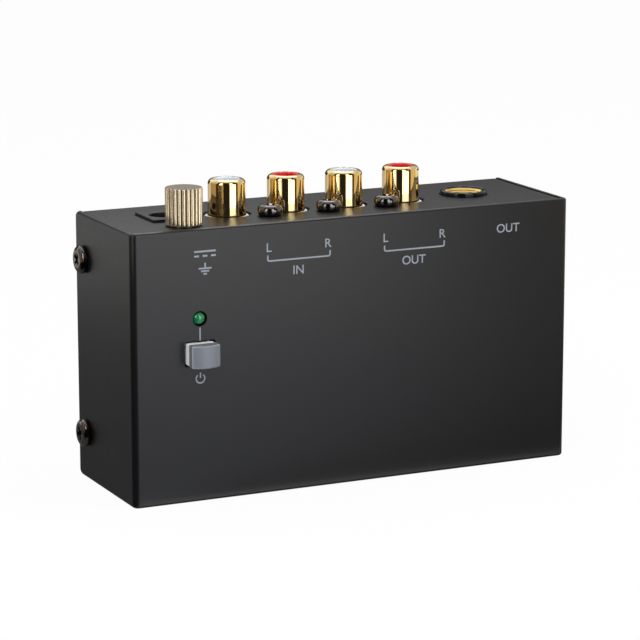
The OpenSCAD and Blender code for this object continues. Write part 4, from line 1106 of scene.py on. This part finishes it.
ink("mark_supply", [bar(SUPPLY_X, SUPPLY_Z, SUPPLY_X + 5, SUPPLY_Z, SUPPLY_STROKE)] + [
    bar(x, DASHES_Z, x + 1.1, DASHES_Z, SUPPLY_STROKE) for x in (SUPPLY_X + 1.95 * k for k in range(3))])
ink("mark_ground", [bar(GROUND_X, 52.6, GROUND_X, 51.5, GROUND_STROKE)] + [
    bar(GROUND_X - half, z, GROUND_X + half, z, GROUND_STROKE)
    for half, z in ((1.5, 51.4), (0.95, 50.8), (0.4, 50.2))])
ink("lamp_line", [bar(POWER_X, lamp_middle.z - 1.9, POWER_X, cap_high.z + 0.3, STROKE)])
power_ring = [bar(*on_power_ring(40 + 14 * k), *on_power_ring(54.5 + 14 * k), POWER_STROKE) for k in range(20)]
ink("mark_power", power_ring + [bar(POWER_X, POWER_Z + 0.1, POWER_X, POWER_Z + 1.3, POWER_STROKE)])

# %% [markdown]
# Everything else
#
# The pieces inside the case keep their solids, since their shapes are right, and each takes the finish
# that the record names for it.

# %% Finish the remaining solids
slots = {part["node"]: part["material_slot"] for part in frame["record"]["subparts"]}
for node, obj in frame["nodes"].items():
    obj.data.materials.clear()
    obj.data.materials.append(finishes[slots[node]])
print("finished", len(slots), "solids")

# %% [markdown]
# Floor
#
# The box stands on white paper. The camera, and any mirror, sees the paper as plain white, while a small
# part of its own shading stays, so that the box still leaves a soft shadow on it. Light Path tells the
# rays apart, and the paper itself lights the box like any pale floor.


# %% Helpers for the stage
def seen_white(tree):
    """1 for rays that should meet a white background: those of the camera, of mirrors and of glass."""
    path = put(tree, "ShaderNodeLightPath")
    seen = arithmetic(tree, "ADD", path.outputs["Is Camera Ray"], path.outputs["Is Glossy Ray"])
    return put(tree, "ShaderNodeMath", {0: seen, 1: path.outputs["Is Transmission Ray"]},
               operation="ADD", use_clamp=True).outputs[0]


def stage_mesh(name, bm, material):
    obj = as_object(name, bm)
    obj.data.materials.append(material)
    return obj


def stage_material(name):
    material = bpy.data.materials.new(name)
    material.use_nodes = True
    material.node_tree.nodes.remove(material.node_tree.nodes["Principled BSDF"])
    return material, material.node_tree


print("stage pieces can be made")

# %% Lay the floor
FLOOR_GLOW, FLOOR_R = 0.95, 3000
floor_paint, tree = stage_material("studio_floor")
paper = put(tree, "ShaderNodeBsdfDiffuse", {"Color": (0.92, 0.92, 0.92, 1)})
glow = put(tree, "ShaderNodeEmission", {"Color": (1, 1, 1, 1), "Strength": 1.0})
share = arithmetic(tree, "MULTIPLY", seen_white(tree), FLOOR_GLOW)
blend = put(tree, "ShaderNodeMixShader", {0: share, 1: paper.outputs[0], 2: glow.outputs[0]})
tree.links.new(blend.outputs[0], tree.nodes["Material Output"].inputs["Surface"])
stage_mesh("studio_floor", raised(circle(FLOOR_R, 64), -20, -0.02), floor_paint)
print("floor ready")

# %% [markdown]
# Cards that only mirrors see
#
# Polished metal shows what stands round it: the stripes down a gold shell are the edges of cards that a
# studio puts round its subject. A card here is glowing felt that only mirrored rays meet, so it draws
# reflections without adding light. Its brightness is a ramp over the turn about a point, counted in degrees
# from the camera's side, with the right side positive.

# %% A helper for turns about a point
AWAY = degrees(atan2(-cos(YAW), -sin(YAW)))


def turn_about(tree, x_mm, y_mm):
    """The turn of a place about a point on the floor, 0 to 1, with the camera's side in the middle."""
    spot = axes_of(tree, "Object")
    east, north = (arithmetic(tree, "SUBTRACT", spot[k], mm * MM) for k, mm in enumerate((x_mm, y_mm)))
    turn = arithmetic(tree, "SUBTRACT", arithmetic(tree, "ARCTAN2", north, east), radians(AWAY))
    turn = arithmetic(tree, "WRAP", turn, pi, -pi)
    return spread(tree, turn, 0.0, 1.0, -pi, pi), east, north


print("cards count from", round(AWAY, 1), "degrees")


# %% Helpers for cards
def card_tones(tree, turn, cards, soft):
    """A ramp over the turn: each card is its end in degrees and its tone, a grey level or a colour."""
    node = put(tree, "ShaderNodeValToRGB", {0: turn})
    stops = []
    start = -180
    for end, tone in cards:
        colour = tone if isinstance(tone, tuple) else (tone, tone, tone)
        stops += [(start + soft, colour), (end - soft, colour)]
        start = end
    while len(node.color_ramp.elements) < len(stops):
        node.color_ramp.elements.new(1.0)
    for element, (angle, colour) in zip(node.color_ramp.elements, stops):
        element.position = (angle + 180) / 360
        element.color = (*colour, 1)
    return node.outputs[0]


def card_object(name, bm, felt, tone, strength):
    tree = felt.node_tree
    lit = put(tree, "ShaderNodeEmission", {"Color": tone, "Strength": strength})
    tree.links.new(lit.outputs[0], tree.nodes["Material Output"].inputs["Surface"])
    obj = stage_mesh(name, bm, felt)
    for flag in ("visible_camera", "visible_diffuse", "visible_transmission", "visible_shadow"):
        setattr(obj, flag, False)
    print("card", name)


print("cards can be shaded and stood")

# %% [markdown]
# Rings of cards
#
# Six rings of wall stand on each other, from a low skirting to a ring high above. White strips left and
# right of the camera are what a screw, a lens or a shell shows as a highlight. Amber cards beside them give
# the gold its depth, dark felt gives it contrast, and pale cards behind light the panel, which is seen at a
# low angle. Each row is a ring's name, its lower and upper edge, its strength and its cards.

# %% Stand the rings of cards
CARD_R, CARD_STEPS, CARD_SOFT = 250, 128, 1.5
FELT, PALE, SHADE, DIM = 0.006, 0.31, 0.02, 0.15
AMBER, HONEY, STRAW = (0.14, 0.105, 0.065), (0.26, 0.21, 0.13), (0.37, 0.3, 0.15)
LEFT_STRIP = [(-65, AMBER), (-46, FELT), (-29, 1.0), (-23, STRAW), (16, FELT)]
LEFT_DIM = [(-65, AMBER), (-46, FELT), (-29, DIM), (16, FELT)]
RIGHT_STRIP = [(54, 1.0), (69, SHADE), (107, HONEY)]
RIGHT_DIM = [(54, 0.6), (69, SHADE), (107, HONEY)]
RINGS = [
    ("skirting", 0.3, 5.5, 3.2, [(-118, 0.15), (-109, PALE), (16, FELT), *RIGHT_STRIP, (180, PALE)]),
    ("low_ring", 5.5, 32, 3.2, [(-118, 0.18), (-109, PALE), *LEFT_STRIP, *RIGHT_STRIP, (180, PALE)]),
    ("middle_ring", 32, 95, 3.2, [(-120, FELT), (-109, PALE), *LEFT_DIM, *RIGHT_DIM, (125, PALE), (180, FELT)]),
    ("upper_ring", 95, 155, 3.2, [(-160, 0.075), (-120, SHADE), (-109, PALE), *LEFT_STRIP, *RIGHT_STRIP,
                                  (150, PALE), (180, 0.077)]),
    ("high_ring", 155, 330, 3.2, [(-135, 0.38), (-107, 0.33), (-65, 0.2), (-46, FELT), (-29, 1.0), (16, FELT),
                                  (38, 1.0), (75, FELT), (180, 0.22)]),
    ("top_ring", 330, 600, 5.0, [(-150, 1.0), (-75, 0.19), (75, FELT), (150, 0.19), (180, 1.0)]),
]
for name, low, high, strength, cards in RINGS:
    felt, tree = stage_material(name)
    tone = card_tones(tree, turn_about(tree, 0, 0)[0], cards, CARD_SOFT)
    card_object(name, raised(circle(CARD_R, CARD_STEPS), low, high, capped=False), felt, tone, strength)

# %% [markdown]
# Card on the floor
#
# The label face and the left flange mirror the floor, softly. A card laid on the floor is brighter to the
# left and fades to the right, which gives the face its slow change from grey to black. A narrow pale band
# at the foot of the face draws the light line that runs along its lower edge.

# %% Lay the floor card
FLOOR_CARDS = [(-124, 0.068), (-108, 0.05), (30, 0.004), (95, (0.238, 0.245, 0.27)), (180, 0.12)]
FLOOR_CARD_STRENGTH, FLOOR_CARD_SOFT = 3.0, 3
BAND_LEFT, BAND_RIGHT = (0.6, 0.6, 0.61, 1), (0.38, 0.38, 0.39, 1)
BAND_FAR, BAND_CREST, BAND_NEAR, BAND_START = -0.0042, -0.0016, -0.0006, 0.004
felt, tree = stage_material("floor_card")
turn, east, north = turn_about(tree, case_low.x, case_low.y)
tone = card_tones(tree, turn, FLOOR_CARDS, FLOOR_CARD_SOFT)
near_fade = spread(tree, flat_distance(tree, east, north), 0.75, 1.2, 0.02, 0.25)
aside = arithmetic(tree, "ADD", east, arithmetic(tree, "MULTIPLY", north, tan(YAW)))
right_fade = spread(tree, aside, 1.0, 0.25, 0.0, 0.1)
tone = mix_colours(tree, arithmetic(tree, "MULTIPLY", near_fade, right_fade), (0, 0, 0, 1), tone)
near_side = spread(tree, north, 1.0, 0.0, BAND_CREST, BAND_NEAR)
far_side = spread(tree, north, 0.0, 1.0, BAND_FAR, BAND_CREST)
band = arithmetic(tree, "MULTIPLY", near_side, far_side)
band = arithmetic(tree, "MULTIPLY", band, spread(tree, east, 0.0, 1.0, 0.0, BAND_START))
tone = mix_colours(tree, band, tone, mix_colours(tree, right_fade, BAND_RIGHT, BAND_LEFT))
card_object("floor_card", raised(circle(CARD_R, CARD_STEPS), 0.04, 0.08), felt, tone, FLOOR_CARD_STRENGTH)

# %% [markdown]
# Corner flag
#
# A dark curved flag near the left corner keeps the bend between the label face and the flange black. A
# studio does the same with a strip of black card.

# %% Stand the corner flag
FLAG_R, FLAG_T, FLAG_TOP = 42, 1, 45
felt, tree = stage_material("corner_flag")
tone = card_tones(tree, turn_about(tree, case_low.x, case_low.y)[0], [(0, FELT), (180, FELT)], CARD_SOFT)
flag_turns = [radians(AWAY + a) for a in range(-96, 25, 8)]
flag = [Vector((case_low.x + r * cos(a), case_low.y + r * sin(a)))
        for r, turns_along in ((FLAG_R, flag_turns), (FLAG_R + FLAG_T, flag_turns[::-1])) for a in turns_along]
card_object("corner_flag", raised(flag, 0.3, FLAG_TOP), felt, tone, 1.0)

# %% [markdown]
# Lamps and world
#
# Three large soft lamps light the box from the left, the right and above. They are hidden from mirrors,
# because the cards already give the metal its highlights. The world fills the shadows and is a white
# backdrop to the camera.


# %% Hang the lamps and set the world
def soft_lamp(name, watts, side, at, aim=(0, 0, 0.03)):
    data = bpy.data.lights.new(name, "AREA")
    data.energy = watts
    data.size = side
    lamp = bpy.data.objects.new(name, data)
    lamp.location = at
    lamp.rotation_euler = (Vector(aim) - Vector(at)).to_track_quat("-Z", "Y").to_euler()
    lamp.visible_glossy = False
    scene.collection.objects.link(lamp)


soft_lamp("key_lamp", watts=5.5, side=0.6, at=(-0.5, -0.7, 0.8))
soft_lamp("fill_lamp", watts=3.0, side=0.6, at=(0.7, -0.5, 0.6))
soft_lamp("top_lamp", watts=2.0, side=0.8, at=(0.0, 0.2, 1.1))

world = bpy.data.worlds.new("studio_world")
scene.world = world
world.use_nodes = True
tree = world.node_tree
tree.nodes.clear()
ambient, backdrop = (put(tree, "ShaderNodeBackground", {"Color": (1, 1, 1, 1), "Strength": strength}).outputs[0]
                     for strength in (0.5, 1.0))
either = put(tree, "ShaderNodeMixShader", {0: seen_white(tree), 1: ambient, 2: backdrop})
tree.links.new(either.outputs[0], put(tree, "ShaderNodeOutputWorld").inputs["Surface"])
print("studio ready")
